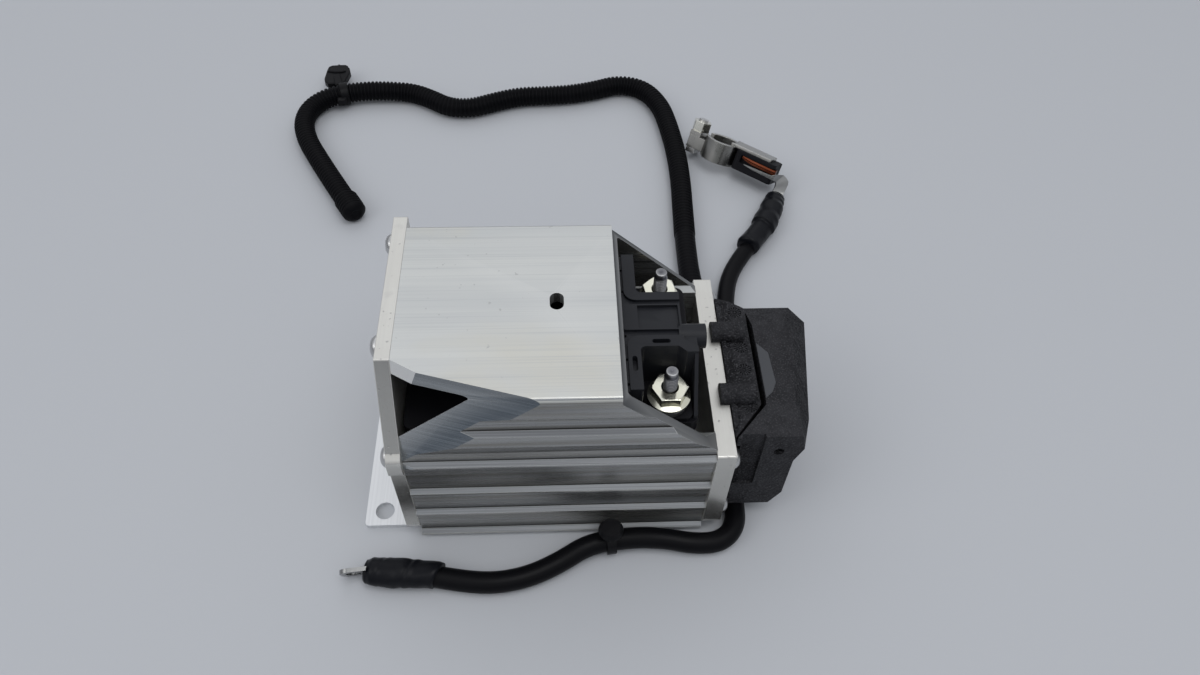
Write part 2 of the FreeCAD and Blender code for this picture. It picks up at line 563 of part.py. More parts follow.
def terminal_cover():
    x, y = cover_points()
    owner = body("cover_body")
    deck_top = CASE_TOP + " + deck_height"
    frame_top = deck_top + " + frame_raise"
    deck = outline([
        (x.cover_start, y.cover_front, 1), (x.well_start, y.cover_front, 1),
        (x.well_start, y.front_well_back, 2), (x.well_end, y.front_well_back, 1),
        (x.shoulder_x, y.shoulder_y, 1), (x.cover_end, y.shoulder_y, 1),
        (x.cover_end, y.frame_back, 1), (x.back_bar_end, y.frame_back, 1),
        (x.back_bar_end, y.back_well_front, 1), (x.well_start, y.back_well_front, 2),
        (x.well_start, y.cover_back, 1), (x.cover_start, y.cover_back, 1),
    ])
    pad(owner, sketch(owner, "XY_Plane", "cover_deck", deck, level=CASE_TOP), "deck_height")
    wall = d.cover_wall
    hollow_left = x.cover_start + wall
    hollow_right = x.back_bar_end - wall
    hollow_front = y.front_well_back + wall
    hollow_back = y.back_well_front - 3 * wall
    middle = outline([
        (hollow_left, hollow_front), (hollow_right, hollow_front),
        (hollow_right, hollow_back), (hollow_left, hollow_back),
    ])
    pocket(owner, sketch(owner, "XY_Plane", "cover_hollow", middle, level=CASE_TOP),
           "deck_height - 2 * cover_wall", backward=True)
    back_frame = outline([
        (x.leg_start, y.back_bar_front, d.frame_round), (x.back_bar_end, y.back_bar_front),
        (x.back_bar_end, y.back_well_front), (x.well_start, y.back_well_front, 2),
        (x.well_start, y.cover_back), (x.leg_start, y.cover_back),
    ])
    front_frame = outline([
        (x.leg_start, y.cover_front), (x.well_start, y.cover_front),
        (x.well_start, y.front_well_back, 2), (x.well_end, y.front_well_back, 1),
        (x.shoulder_x, y.shoulder_y, 1), (x.cover_end, y.shoulder_y),
        (x.cover_end, y.front_well_back, 1), (x.back_bar_end, y.frame_back - 2, 1),
        (x.back_bar_end, y.frame_back), (x.leg_start, y.frame_back, d.frame_round),
    ])
    for name, frame in (("back_frame", back_frame), ("front_frame", front_frame)):
        pad(owner, sketch(owner, "XY_Plane", name, frame, level=deck_top), "frame_raise")
    centre_box = rounded_box(
        (x.box_start + x.box_end) / 2, (y.box_front + y.box_back) / 2,
        x.box_end - x.box_start, y.box_back - y.box_front, d.box_round,
    )
    pad(owner, sketch(owner, "XY_Plane", "centre_box", centre_box, level=deck_top), "frame_raise")
    label_end = x.box_end - d.label_inset
    label_front = y.box_front + d.label_inset
    label_back = y.box_back - d.label_inset
    label = outline([
        (x.label_start, label_front), (label_end, label_front),
        (label_end, label_back), (x.label_start, label_back),
    ])
    pocket(owner, sketch(owner, "XY_Plane", "label_field", label, level=frame_top), "label_depth")
    bar_slot = rounded_box(
        (x.bar_slot_start + x.bar_slot_end) / 2, y.bar_slot_y, x.bar_slot_end - x.bar_slot_start,
        d.slot_wide, d.slot_wide / 2,
    )
    leg_slot = rounded_box(
        x.leg_slot_x, (y.leg_slot_front + y.leg_slot_back) / 2, d.slot_wide,
        y.leg_slot_back - y.leg_slot_front, d.slot_wide / 2,
    )
    pocket(owner, sketch(owner, "XY_Plane", "bar_slot", bar_slot, level=frame_top), "slot_depth")
    pocket(owner, sketch(owner, "XY_Plane", "leg_slot", leg_slot, level=frame_top), "slot_depth")
    count = int((y.cover_back - y.notch_first) / d.notch_step) + 1
    notches = [
        edge for i in range(count)
        for edge in rounded_box(x.leg_start - d.notch_reach / 2, y.notch_first + i * d.notch_step,
                                d.notch_reach, d.notch_wide, d.notch_wide / 3)
    ]
    pocket(owner, sketch(owner, "XY_Plane", "edge_notches", notches, level=deck_top), "slot_depth")
    spout_z = deck_top + " + frame_raise - spout_width / 2"
    along = Rotation(Vector(0, 1, 0), 90)
    spout = cylinder("spout", "spout_width / 2", "spout_start - spout_end",
                     "tube_start + tube_length - spout_start", "tube_front + spout_y", spout_z, along)
    bore = cylinder("spout_bore", "spout_bore / 2", "cover_end - spout_end",
                    "tube_start + tube_length - cover_end", "tube_front + spout_y", spout_z, along)
    cheek_profile = Part.makePolygon([
        Vector(x.cover_end, u, case_top + level) for u, level in (
            (y.cheek_front, 0), (y.shoulder_y + 1, 0), (y.shoulder_y + 1, d.deck_height),
            (y.shoulder_y, d.deck_height), (y.cheek_front, d.cheek_low), (y.cheek_front, 0))
    ])
    cheek = feature("cheek", Part.Face(cheek_profile).extrude(Vector(-d.cheek_thick, 0, 0)))
    cover = cut("cover_moulding", fuse("cover_with_spout", owner, spout, cheek), bore)
    return keep("terminal_cover", cover)


# Foam: a cap hooked over the right end plate, and a guard around it

def foam_y(value):
    return d.tube_front + value


def from_back(value):
    """A place measured from the back edge of the end plates."""
    return d.tube_front + d.plate_depth - value


def cap_points(grow=0.0):
    """Plan of the cap; it grows all round except at the plate for the groove that surrounds it."""
    far = guard_x + d.cap_width + grow
    front = foam_y(d.cap_front)
    back = from_back(d.cap_back)
    return [
        (guard_x, front - grow),
        (far, front + d.cap_nose - grow / 2),
        (far, back - d.cap_tail + grow / 2),
        (guard_x + d.cap_width / 2 + grow, back - d.cap_tail / 3 + grow),
        (guard_x, back + grow),
    ]


def head_room():
    """Sockets in the foam for the right plate's screw heads."""
    radius = d.screw_head / 2 + d.head_gap
    x = tube_end + d.right_plate
    depth = d.screw_dome + d.head_gap
    return Part.Compound([
        Part.makeCylinder(radius, depth, Vector(x, foam_y(v), d.base_thick + level), Vector(1, 0, 0))
        for v, level in right_screw_places()
    ])


def plate_hook(middle):
    """Rounded foam hook that lies over the right plate's top edge."""
    half = d.hook_width / 2
    floor = cap_top
    side = floor + d.hook_side
    profile = Part.Wire([
        Part.makeLine((0, middle - half, floor), (0, middle + half, floor)),
        Part.makeLine((0, middle + half, floor), (0, middle + half, side)),
        Part.Arc(Vector(0, middle + half, side), Vector(0, middle, floor + d.hook_rise),
                 Vector(0, middle - half, side)).toShape(),
        Part.makeLine((0, middle - half, side), (0, middle - half, floor)),
    ])
    hook = Part.Face(profile).extrude(Vector(d.hook_length, 0, 0))
    hook.translate(Vector(guard_x - d.foam_gap - d.hook_over_plate, 0, 0))
    return hook


def foam_cap():
    owner = body("cap_body")
    plan = [(u, v, 0 if u == guard_x else d.cap_round) for u, v in cap_points()]
    pad(owner, sketch(owner, "XY_Plane", "cap_plan", outline(plan), level="cap_bottom"),
        CAP_TOP + " - cap_bottom")
    front = foam_y(d.cap_front)
    back = from_back(d.cap_back)
    rim = outline([
        (guard_x, front + 2 * d.rim_wide), (guard_x + d.rim_wide, front + 3 * d.rim_wide),
        (guard_x + d.rim_wide, back - 3 * d.rim_wide), (guard_x, back - 2 * d.rim_wide),
    ])
    pad(owner, sketch(owner, "XY_Plane", "cap_rim", rim, level=CAP_TOP), "rim_raise")
    vent_y = [foam_y(d.vent_first), foam_y(d.vent_second), foam_y(d.vent_third), from_back(d.vent_last)]
    vents = circles([(guard_x + d.vent_x, y) for y in vent_y], d.vent_width / 2)
    pocket(owner, sketch(owner, "XY_Plane", "cap_vents", vents, level=CAP_TOP), "vent_depth")
    hooks = [
        feature(f"hook_{i}", plate_hook(foam_y(d.hook_mid) + side * d.hook_spacing / 2))
        for i, side in enumerate((-1, 1))
    ]
    sockets = feature("cap_sockets", head_room())
    return keep("foam_cap", cut("cap_shape", fuse("cap_with_hooks", owner, *hooks), sockets))


def guard_plan(front, nose, tail, back, tail_y=None, back_y=None):
    """Outline points of the guard at one level; the numbers are its reach past the right plate."""
    return [
        (guard_x + front, foam_y(d.guard_front)), (guard_x + nose, foam_y(d.nose_y)),
        (guard_x + tail, from_back(tail_y or d.tail_y)), (guard_x + back, from_back(back_y or d.guard_back)),
    ]


def guard_section(level, points):
    corners = [Vector(guard_x, foam_y(d.guard_front), level)]
    corners += [Vector(u, v, level) for u, v in points]
    corners.append(Vector(guard_x, points[-1][1], level))
    return Part.makePolygon(corners + corners[:1])


def guard_block():
    """The guard's outside: a foot with a sloping edge, a straight block and a sloping shoulder."""
    waist = guard_plan(d.waist_front, d.waist_nose, d.waist_tail, d.waist_back)
    shoulder = guard_plan(d.shoulder_front, d.shoulder_nose, d.shoulder_tail, d.shoulder_back)
    roof = guard_plan(d.roof_front, d.roof_nose, d.roof_tail, d.roof_back, d.roof_tail_y, d.roof_back_y)
    foot = [(u - d.foot_inset, v) for u, v in waist]
    sections = [
        guard_section(d.guard_bottom, foot), guard_section(d.guard_bottom + d.foot_rise, waist),
        guard_section(cap_top - d.guard_waist, waist), guard_section(cap_top - d.guard_shoulder, shoulder),
        guard_section(cap_top + d.guard_top, roof),
    ]
    blocks = [Part.makeLoft([low, high], True, True) for low, high in zip(sections, sections[1:])]
    return blocks[0].fuse(blocks[1:]).removeSplitter(), waist


def guard_tunnel(waist):
    """Room for the cable entry under the guard, with a wall left at its front, right and back."""
    wall = d.guard_wall
    left = tube_end + d.right_plate - wall
    front = waist[0][1] + wall
    back = waist[3][1] - wall
    plan = [
        (left, front), (waist[0][0] - wall, front), (waist[1][0] - wall, waist[1][1]),
        (waist[2][0] - wall, waist[2][1]), (waist[2][0] - wall, back), (left, back),
    ]
    floor = [Vector(u, v, d.guard_bottom - wall) for u, v in plan]
    height = d.cap_bottom - d.foam_gap - d.guard_ceiling - d.guard_bottom + wall
    return Part.Face(Part.makePolygon(floor + floor[:1])).extrude(Vector(0, 0, height))


def foam_guard():
    """Foam block with a pocket for the cap, a tunnel for the cables and a plug hole in its front."""
    block, waist = guard_block()
    cap_floor = [Vector(u, v, d.cap_bottom - d.foam_gap) for u, v in cap_points(d.groove)]
    cap_pocket = Part.Face(Part.makePolygon(cap_floor + cap_floor[:1])).extrude(Vector(0, 0, cap_top))
    arch_start = from_back(d.guard_back) - 2 * d.guard_wall
    arch = Part.makeCylinder(d.conduit_width / 2 + d.notch_clear, 3 * d.guard_wall, Vector(
        guard_x + d.conduit_x, arch_start, d.conduit_width / 2), Vector(0, 1, 0))
    plug_hole = Part.makeCylinder(d.guard_plug / 2, d.guard_wall, Vector(
        guard_x + d.plug_x, foam_y(d.guard_front), cap_top - d.plug_drop), Vector(0, 1, 0))
    panel = Part.makeBox(d.panel_end - d.panel_start, d.panel_depth, cap_top, Vector(
        guard_x + d.panel_start, foam_y(d.guard_front), d.panel_low))
    for tool in (cap_pocket, guard_tunnel(waist), arch, plug_hole, panel, head_room()):
        block = block.cut(tool)
    return keep("foam_guard", feature("foam_guard_shape", block))


# Cables: straight runs joined by tangent arcs, each on this share of its shorter run

ARC_SHARE = 0.45


def route_wire(label, points):
    """Path of a cable, each arc taking most of the shorter of its two half runs."""
    stops = [Vector(*point) for point in points]
    edges = []
    radii = []
    start = stops[0]
    for before, corner, after in zip(stops, stops[1:], stops[2:]):
        back = (before - corner).normalize()
        ahead = (after - corner).normalize()
        half_turn = (math.pi - back.getAngle(ahead)) / 2
        reach = ARC_SHARE * min((before - corner).Length, (after - corner).Length)
        radius = reach / math.tan(half_turn)
        middle = corner + (back + ahead).normalize() * (radius / math.cos(half_turn) - radius)
        arrive = corner + back * reach
        leave = corner + ahead * reach
        edges.append(Part.LineSegment(start, arrive).toShape())
        edges.append(Part.Arc(arrive, middle, leave).toShape())
        radii.append(round(radius, 1))
        start = leave
    edges.append(Part.LineSegment(start, stops[-1]).toShape())
    wire = Part.Wire(edges)
    print(label, "length", round(wire.Length, 1), "radii", radii)
    return wire


def tube_along(label, points, width):
    wire = route_wire(label, points)
    start = Vector(*points[0])
    ring = Part.Wire(Part.makeCircle(width / 2, start, Vector(*points[1]) - start))
    tube = wire.makePipeShell([ring], True, False)
    expected = math.pi * width ** 2 / 4 * wire.Length
    print(label, "volume against section and length", round(tube.Volume / expected, 4))
    return keep(label, feature(label + "_shape", tube))


def lofted(stations):
    """A sleeve through round sections; each is (centre, direction, radius)."""
    rings = [Part.Wire(Part.makeCircle(radius, centre, direction)) for centre, direction, radius in stations]
    return Part.makeLoft(rings, True, True)


conduit_mid = d.conduit_width / 2 + d.floor_gap
cable_mid = d.cable_width / 2 + d.floor_gap
entry_back = from_back(d.entry_back)
entry_front = foam_y(d.entry_front)
raised = conduit_mid + d.strap_thick
cable_raised = cable_mid + d.strap_thick

CONDUIT = [
    (guard_x + d.conduit_x, entry_back, conduit_mid), (guard_x + d.conduit_x, 90.0, conduit_mid),
    (155.6, 111.0, conduit_mid), (152.4, 134.0, conduit_mid), (152.6, 161.0, conduit_mid),
    (153.7, 188.0, conduit_mid), (155.0, 215.0, conduit_mid), (154.6, 240.0, conduit_mid),
    (152.2, 265.0, conduit_mid), (148.6, 287.0, conduit_mid), (138.8, 304.8, conduit_mid),
    (122.5, 310.4, conduit_mid), (106.0, 303.8, conduit_mid), (90.0, 299.8, conduit_mid),
    (73.0, 298.4, conduit_mid), (56.0, 297.6, conduit_mid), (40.5, 292.2, conduit_mid),
    (26.0, 286.0, conduit_mid), (11.0, 286.4, conduit_mid), (-1.5, 295.6, conduit_mid),
    (-14.5, 302.6, conduit_mid), (-31.0, 302.8, raised), (-48.0, 302.4, raised),
    (-66.5, 297.6, raised), (-77.6, 287.6, conduit_mid), (-80.4, 273.0, conduit_mid),
    (-75.6, 256.0, conduit_mid), (-65.6, 237.5, conduit_mid), (-52.8, 215.2, conduit_mid),
    (-43.8, 200.2, conduit_mid),
]
FRONT_CABLE = [
    (guard_x + d.cable_x, entry_front, cable_mid), (guard_x + d.cable_x, -3.0, cable_mid),
    (157.8, -13.6, cable_mid), (150.6, -20.6, cable_mid), (138.6, -21.2, cable_mid),
    (125.5, -18.8, cable_raised), (111.5, -17.9, cable_raised), (92.0, -20.4, cable_raised),
    (79.0, -28.2, cable_mid), (66.0, -34.2, cable_mid), (52.5, -36.8, cable_mid),
    (39.0, -36.0, cable_mid), (25.7, -33.2, cable_mid),
]
SENSOR_CABLE = [
    (guard_x + d.sensor_x, entry_back, cable_mid), (guard_x + d.sensor_x, 81.0, cable_mid),
    (169.4, 100.0, cable_mid), (170.0, 118.0, cable_mid), (173.6, 134.5, cable_mid),
    (180.2, 147.8, cable_mid), (187.9, 158.6, cable_mid),
]
# Stations of the shrink sleeves: distance past the cable's end, drift to the left, radius
FRONT_SLEEVE = [(0, 0, 5.6), (9, 0.9, 6.2), (20, 2.0, 6.8), (27, 2.7, 6.4), (31, 3.1, 4.6)]
SENSOR_SLEEVE = [(0, 0, 5.6), (7, 0, 6.6), (18, 0.1, 7.4), (30, 1.6, 7.2), (41, 4.0, 6.6), (49.5, 6.4, 5.2)]


def cable_entry():
    """Block on the right plate, under the guard, where the three cables go in."""
    entry = box("entry_block", "entry_width", "plate_depth - entry_back - entry_front", "entry_height",
                "tube_start + tube_length + right_plate", "tube_front + entry_front")
    return keep("cable_entry", entry)


def end_frame(points):
    """Last point of a route and its heading there."""
    before = Vector(*points[-2])
    last = Vector(*points[-1])
    return last, (last - before).normalize()


def conduit_bush():
    """Rounded rubber end piece that closes the free end of the conduit."""
    end, heading = end_frame(CONDUIT)
    radius = d.bush_width / 2
    lift = Vector(0, 0, radius - d.conduit_width / 2)
    shoulder = Vector(radius, 0, d.bush_length - d.bush_shoulder)
    bend = Vector(d.bush_bend / 2, 0, d.bush_length - d.bush_bend_drop)
    face_edge = Vector(d.bush_face / 2, 0, d.bush_length)
    profile = Part.Wire([
        Part.makeLine((0, 0, 0), (radius - d.bush_chamfer, 0, 0)),
        Part.makeLine((radius - d.bush_chamfer, 0, 0), (radius, 0, d.bush_chamfer)),
        Part.makeLine((radius, 0, d.bush_chamfer), shoulder),
        Part.Arc(shoulder, bend, face_edge).toShape(),
        Part.makeLine(face_edge, (0, 0, d.bush_length)),
        Part.makeLine((0, 0, d.bush_length), (0, 0, 0)),
    ])
    bush = Part.Face(profile).revolve(Vector(), Vector(0, 0, 1), 360)
    bush.Placement = Placement(end + lift, Rotation(Vector(0, 0, 1), heading))
    return keep("conduit_bush", feature("conduit_bush_shape", bush))


def strap(width, before, after, along):
    """Band closed round a cable between two points of its route."""
    start = Vector(*before)
    heading = (Vector(*after) - start).normalize()
    middle = start + heading * (along - d.strap_wide / 2)
    outer = Part.makeCylinder(width / 2 + d.strap_thick, d.strap_wide, middle, heading)
    inner = Part.makeCylinder(width / 2, d.strap_wide, middle, heading)
    return outer.cut(inner), middle + heading * d.strap_wide / 2, heading


def centred_box(length, width, height, y):
    """A box about the X and Z axes that starts at a place along Y."""
    return Part.makeBox(length, width, height, Vector(-length / 2, y, -height / 2))


def upright_edges(shape):
    return [edge for edge in shape.Edges if abs(edge.tangentAt(0).z) > 0.9]


def conduit_clip():
    """Cable clip on the conduit: band with its lock, short stem and square mounting plate with a nub."""
    band, middle, heading = strap(d.conduit_width, CONDUIT[22], CONDUIT[23], d.clip_along)
    across = heading.cross(Vector(0, 0, 1)).normalize()
    radius = d.conduit_width / 2 + d.strap_thick
    stem = centred_box(d.clip_stem, d.clip_gap + 1, d.clip_stem, radius - 1)
    plate = centred_box(d.clip_plate, d.clip_plate, d.clip_thick, radius + d.clip_gap)
    plate = plate.makeFillet(d.clip_round, upright_edges(plate))
    nub = centred_box(d.nub_width, d.nub_reach + 1, d.clip_thick, radius + d.clip_gap + d.clip_plate - 1)
    lock = centred_box(d.lock_length, d.lock_reach + d.strap_thick, d.lock_width, -radius - d.lock_reach)
    room_start = Vector(-d.lock_length, 0, 0)
    room = Part.makeCylinder(radius - d.strap_thick / 2, 2 * d.lock_length, room_start, Vector(1, 0, 0))
    turn = Rotation(heading, across, Vector(0, 0, 1), "ZYX")
    pieces = []
    for piece in (stem, plate, nub, lock.cut(room)):
        moved = piece.copy()
        moved.Placement = Placement(middle, turn)
        pieces.append(moved)
    return keep("conduit_clip", feature("conduit_clip_shape", band.fuse(pieces)))


def cable_clip():
    """Push-in button clip on the front cable: band, stem and mushroom head pointing up."""
    band, middle, _ = strap(d.cable_width, FRONT_CABLE[6], FRONT_CABLE[7], d.button_along)
    top = d.cable_width / 2 + d.strap_thick
    stem = Part.makeCylinder(d.button_stem / 2, d.button_rise + 1, middle + Vector(0, 0, top - 1))
    head_start = middle + Vector(0, 0, top + d.button_rise)
    head = Part.makeCone(d.button_width / 2, d.button_crown / 2, d.button_thick, head_start)
    return keep("cable_clip", feature("cable_clip_shape", band.fuse([stem, head])))


def sleeve_along(label, points, stations):
    """Shrink sleeve on a cable's end that rests at the cable's level.

    Each station is (distance past the cable's end, drift to the left, radius).
    """
    end, heading = end_frame(points)
    left = Vector(0, 0, 1).cross(heading)
    rings = []
    for along, drift, radius in stations:
        centre = end + heading * along + left * drift + Vector(0, 0, radius - d.cable_width / 2)
        rings.append((centre, heading + left * drift * d.drift_turn, radius))
    keep(label, feature(label + "_shape", lofted(rings)))
    return rings[-1][0]


def ring_tongue(centre):
    """Flat ring tongue out of the front sleeve, turned nearly on edge, with its bolt hole."""
    half = d.tongue_width / 2
    blade = Part.makeBox(d.tongue_length, d.tongue_width, d.tongue_thick, Vector(
        -d.tongue_root, -half, -d.tongue_thick / 2))
    outer = [edge for edge in upright_edges(blade) if edge.Vertexes[0].Point[0] > 0]
    blade = blade.makeFillet(d.tongue_round, outer)
    hole_x = d.tongue_length - d.tongue_root - half
    blade = blade.cut(Part.makeCylinder(d.tongue_hole / 2, d.tongue_width, Vector(hole_x, 0, -half)))
    tilt = math.radians(d.tongue_tilt)
    along = Vector(-1, -d.tongue_slant, 0).normalize()
    wide = Vector(0, -math.sin(tilt), math.cos(tilt))
    start = Vector(centre.x, centre.y, d.tongue_level)
    blade.Placement = Placement(start, Rotation(along, wide, Vector(), "XYZ"))
    return blade


# Pole clamp and its current sensor, drawn about the clamp's bore and then laid on the floor

def clamp_placement():
    turn = Rotation(Vector(0, 0, 1), d.clamp_turn).multiply(Rotation(Vector(1, 0, 0), -d.clamp_lean))
    return Placement(Vector(d.clamp_x, d.clamp_y, 0), turn)


def clamp_pieces():
    outer = d.pole_bore / 2 + d.band_thick
    band = Part.makeCylinder(outer, d.band_tall)
    ear = Part.makeBox(d.ear_end, d.ear_gap + 2 * d.ear_thick, d.ear_high - d.ear_low, Vector(
        -d.ear_end, -d.ear_gap / 2 - d.ear_thick, d.ear_low))
    ring = band.fuse(ear)
    ring = ring.cut(Part.makeCylinder(d.pole_bore / 2, d.band_tall))
    split_start = Vector(-2 * d.ear_end, -d.ear_gap / 2, -d.band_tall)
    ring = ring.cut(Part.makeBox(2 * d.ear_end, d.ear_gap, 3 * d.band_tall, split_start))
    arm_top = d.band_tall + d.arm_thick
    arm = Part.makeBox(d.arm_end - d.arm_start, d.arm_width, d.arm_thick, Vector(
        d.arm_start, -d.arm_width / 2, d.band_tall))
    ring = ring.fuse(arm).cut(Part.makeCylinder(d.pole_bore / 2, 2 * arm_top))
    wedge_low = d.ear_high
    wedge = Part.makeBox(d.wedge_length, d.wedge_width, d.wedge_thick, Vector(
        -d.bolt_x - d.wedge_length / 2, -d.wedge_width / 2, wedge_low))
    hole_start = Vector(-d.bolt_x, 0, -d.band_tall)
    bolt_hole = Part.makeCylinder(d.bolt_width / 2 + d.bolt_gap, 3 * d.band_tall, hole_start)
    wedge = wedge.cut(bolt_hole)
    bolt_low = d.ear_low - d.bolt_drop
    nut_low = wedge_low + d.wedge_thick
    bolt_length = nut_low + d.clamp_nut_tall + d.bolt_rise - bolt_low
    bolt = Part.makeCylinder(d.bolt_width / 2, bolt_length, Vector(-d.bolt_x, 0, bolt_low))
    head = Part.makeBox(d.bolt_head, d.ear_gap + 2 * d.ear_thick, d.bolt_drop, Vector(
        -d.bolt_x - d.bolt_head / 2, -d.ear_gap / 2 - d.ear_thick, bolt_low))
    bolt = bolt.fuse(head)
    corner = d.clamp_nut / math.sqrt(3)
    hexagon = [Vector(corner * math.cos(a) - d.bolt_x, corner * math.sin(a), nut_low) for a in
               (math.radians(60 * i) for i in range(7))]
    nut = Part.Face(Part.makePolygon(hexagon)).extrude(Vector(0, 0, d.clamp_nut_tall)).cut(bolt_hole)
    half = d.module_width / 2
    module = Part.makeBox(d.module_end - d.module_start, d.module_width, d.band_tall - d.module_low, Vector(
        d.module_start, -half, d.module_low))
    module = module.makeFillet(d.module_round, upright_edges(module))
    shunt = Part.makeBox(d.bar_end - d.shunt_start, d.shunt_deep, d.shunt_high - d.shunt_low, Vector(
        d.shunt_start, -half, d.shunt_low))
    module = module.cut(shunt)
    module = module.cut(Part.makeCylinder(outer + d.foam_gap, 3 * d.band_tall, Vector(0, 0, -d.band_tall)))
    return {"pole_clamp": ring, "clamp_wedge": wedge, "clamp_bolt": bolt, "clamp_nut": nut,
            "sensor_module": module, "sensor_shunt": shunt}


def pole_clamp_group():
    turned = {label: shape.copy() for label, shape in clamp_pieces().items()}
    for shape in turned.values():
        shape.Placement = clamp_placement()
    lowest = min(shape.BoundBox.ZMin for shape in turned.values())
    for label, shape in turned.items():
        shape.translate(Vector(0, 0, -lowest))
        keep(label, feature(label + "_shape", shape))
    return clamp_placement(), -lowest


def strip_between(start, end, extra):
    """Flat strip between two points, its width level and running past its end a little."""
    along = end - start
    strip = Part.makeBox(along.Length + extra, d.tongue_width, d.tongue_thick, Vector(
        0, -d.tongue_width / 2, -d.tongue_thick / 2))
    side = along.cross(Vector(0, 0, 1)).normalize()
    strip.Placement = Placement(start, Rotation(along, side, Vector(0, 0, 1), "XYZ"))
    return strip


def sensor_lug(sleeve_end):
    """Tinned strip from the shunt's end, round a corner and down into the sensor cable's sleeve."""
    local = Vector(d.bar_end, -d.module_width / 2 + d.shunt_deep / 2, (d.shunt_low + d.shunt_high) / 2)
    start = clamp_place.multVec(local) + Vector(0, 0, clamp_lift)
    corner_z = (start.z + sleeve_end.z) / 2 + d.lug_rise
    corner = Vector(start.x + d.lug_out, start.y - d.lug_forward, corner_z)
    outer = strip_between(start, corner, d.tongue_width / 4)
    inner = strip_between(corner, sleeve_end, d.lug_in_sleeve)
    return outer.fuse(inner).removeSplitter()


housing_tube()
end_plate("left_end_plate", "left_plate", left_screw_places(), [
    (d.lobe_reach, 0, d.plate_round), (d.plate_depth, 0, d.plate_round),
    (d.plate_depth, d.tube_height, d.plate_edge_round), (d.notch_y, d.tube_height, d.plate_edge_round),
    (d.notch_y * (1 - d.lobe_top / d.notch_z), d.tube_height - d.lobe_top, d.lobe_reach / 2),
    (-d.lobe_reach, d.tube_height - d.lobe_high, 4 * d.lobe_reach),
    (-d.lobe_reach, d.tube_height - d.lobe_low, 2 * d.lobe_reach),
    (d.lobe_reach, d.tube_height - d.lobe_low - d.lobe_reach, d.lobe_reach),
], "tube_start - left_plate")
end_plate("right_end_plate", "right_plate", right_screw_places(), [
    (0, 0, d.plate_round), (d.plate_depth, 0, d.plate_round),
    (d.plate_depth, d.right_height, d.plate_edge_round), (0, d.right_height, d.plate_edge_round),
], "tube_start + tube_length")
base_plate()
plate_screws("left_plate_screws", left_screw_places(), d.tube_start - d.left_plate, -1)
plate_screws("right_plate_screws", right_screw_places(), tube_end + d.right_plate, 1)
battery_case()
for side, turned in (("front", 0), ("back", 40)):
    terminal_stud(side)
    flange_nut(side, turned)
terminal_cover()
foam_cap()
foam_guard()
cable_entry()
tube_along("conduit", CONDUIT, d.conduit_width)
conduit_bush()
conduit_clip()
tube_along("front_cable", FRONT_CABLE, d.cable_width)
cable_clip()
front_tip = sleeve_along("front_cable_sleeve", FRONT_CABLE, FRONT_SLEEVE)
tongue = ring_tongue(front_tip).cut(nodes["front_cable_sleeve"].Shape)
keep("front_ring_tongue", feature("front_ring_tongue_shape", tongue))
tube_along("sensor_cable", SENSOR_CABLE, d.cable_width)
sensor_tip = sleeve_along("sensor_cable_sleeve", SENSOR_CABLE, SENSOR_SLEEVE)
clamp_place, clamp_lift = pole_clamp_group()
lug = sensor_lug(sensor_tip)
for neighbour in ("sensor_cable_sleeve", "sensor_shunt", "sensor_module"):
    lug = lug.cut(nodes[neighbour].Shape)
keep("sensor_lug", feature("sensor_lug_shape", lug))

doc.recompute()
for item in doc.Objects:
    if "Invalid" in item.State or "Error" in item.State:
        raise RuntimeError(f"{item.Name} failed: {item.State}")
for label, item in nodes.items():
    shape = item.Shape
    if shape.isNull() or not shape.isValid() or not shape.Solids:
        raise RuntimeError(f"{label} has no valid solid")

os.makedirs("parts", exist_ok=True)
for label, item in nodes.items():
    item.Shape.exportStep(f"parts/{label}.step")
    bounds = item.Shape.BoundBox
    print(f"{label:22s} solids {len(item.Shape.Solids)} volume {item.Shape.Volume:10.0f} "
          f"x {bounds.XMin:7.1f} {bounds.XMax:7.1f} y {bounds.YMin:7.1f} {bounds.YMax:7.1f} "
          f"z {bounds.ZMin:6.2f} {bounds.ZMax:6.1f}")
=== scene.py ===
import math

import bpy
import numpy as np
from mathutils import Matrix, Vector

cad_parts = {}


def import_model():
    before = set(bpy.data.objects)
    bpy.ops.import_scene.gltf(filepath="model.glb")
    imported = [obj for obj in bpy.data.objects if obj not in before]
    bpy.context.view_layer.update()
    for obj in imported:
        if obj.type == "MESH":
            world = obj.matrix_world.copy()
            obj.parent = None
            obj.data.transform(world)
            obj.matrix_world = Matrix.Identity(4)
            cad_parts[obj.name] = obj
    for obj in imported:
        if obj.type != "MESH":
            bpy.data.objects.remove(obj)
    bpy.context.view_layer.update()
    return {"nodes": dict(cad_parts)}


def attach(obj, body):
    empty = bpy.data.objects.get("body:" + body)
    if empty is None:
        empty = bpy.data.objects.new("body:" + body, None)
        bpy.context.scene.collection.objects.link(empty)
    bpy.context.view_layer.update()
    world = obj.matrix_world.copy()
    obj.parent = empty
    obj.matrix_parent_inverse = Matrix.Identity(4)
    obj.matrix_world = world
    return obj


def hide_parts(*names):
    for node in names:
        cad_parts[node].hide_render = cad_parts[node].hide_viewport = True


# The car auxiliary battery's looks. Places, outlines and sizes are in millimetres, and MM scales them.
# In the materials a noise's scale is per metre, and the depth of a relief is in metres.

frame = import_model()
NODES = frame["nodes"]
MM = 0.001
FRONT = (0.0, -1.0, 0.0)
UP = (0.0, 0.0, 1.0)


# Materials

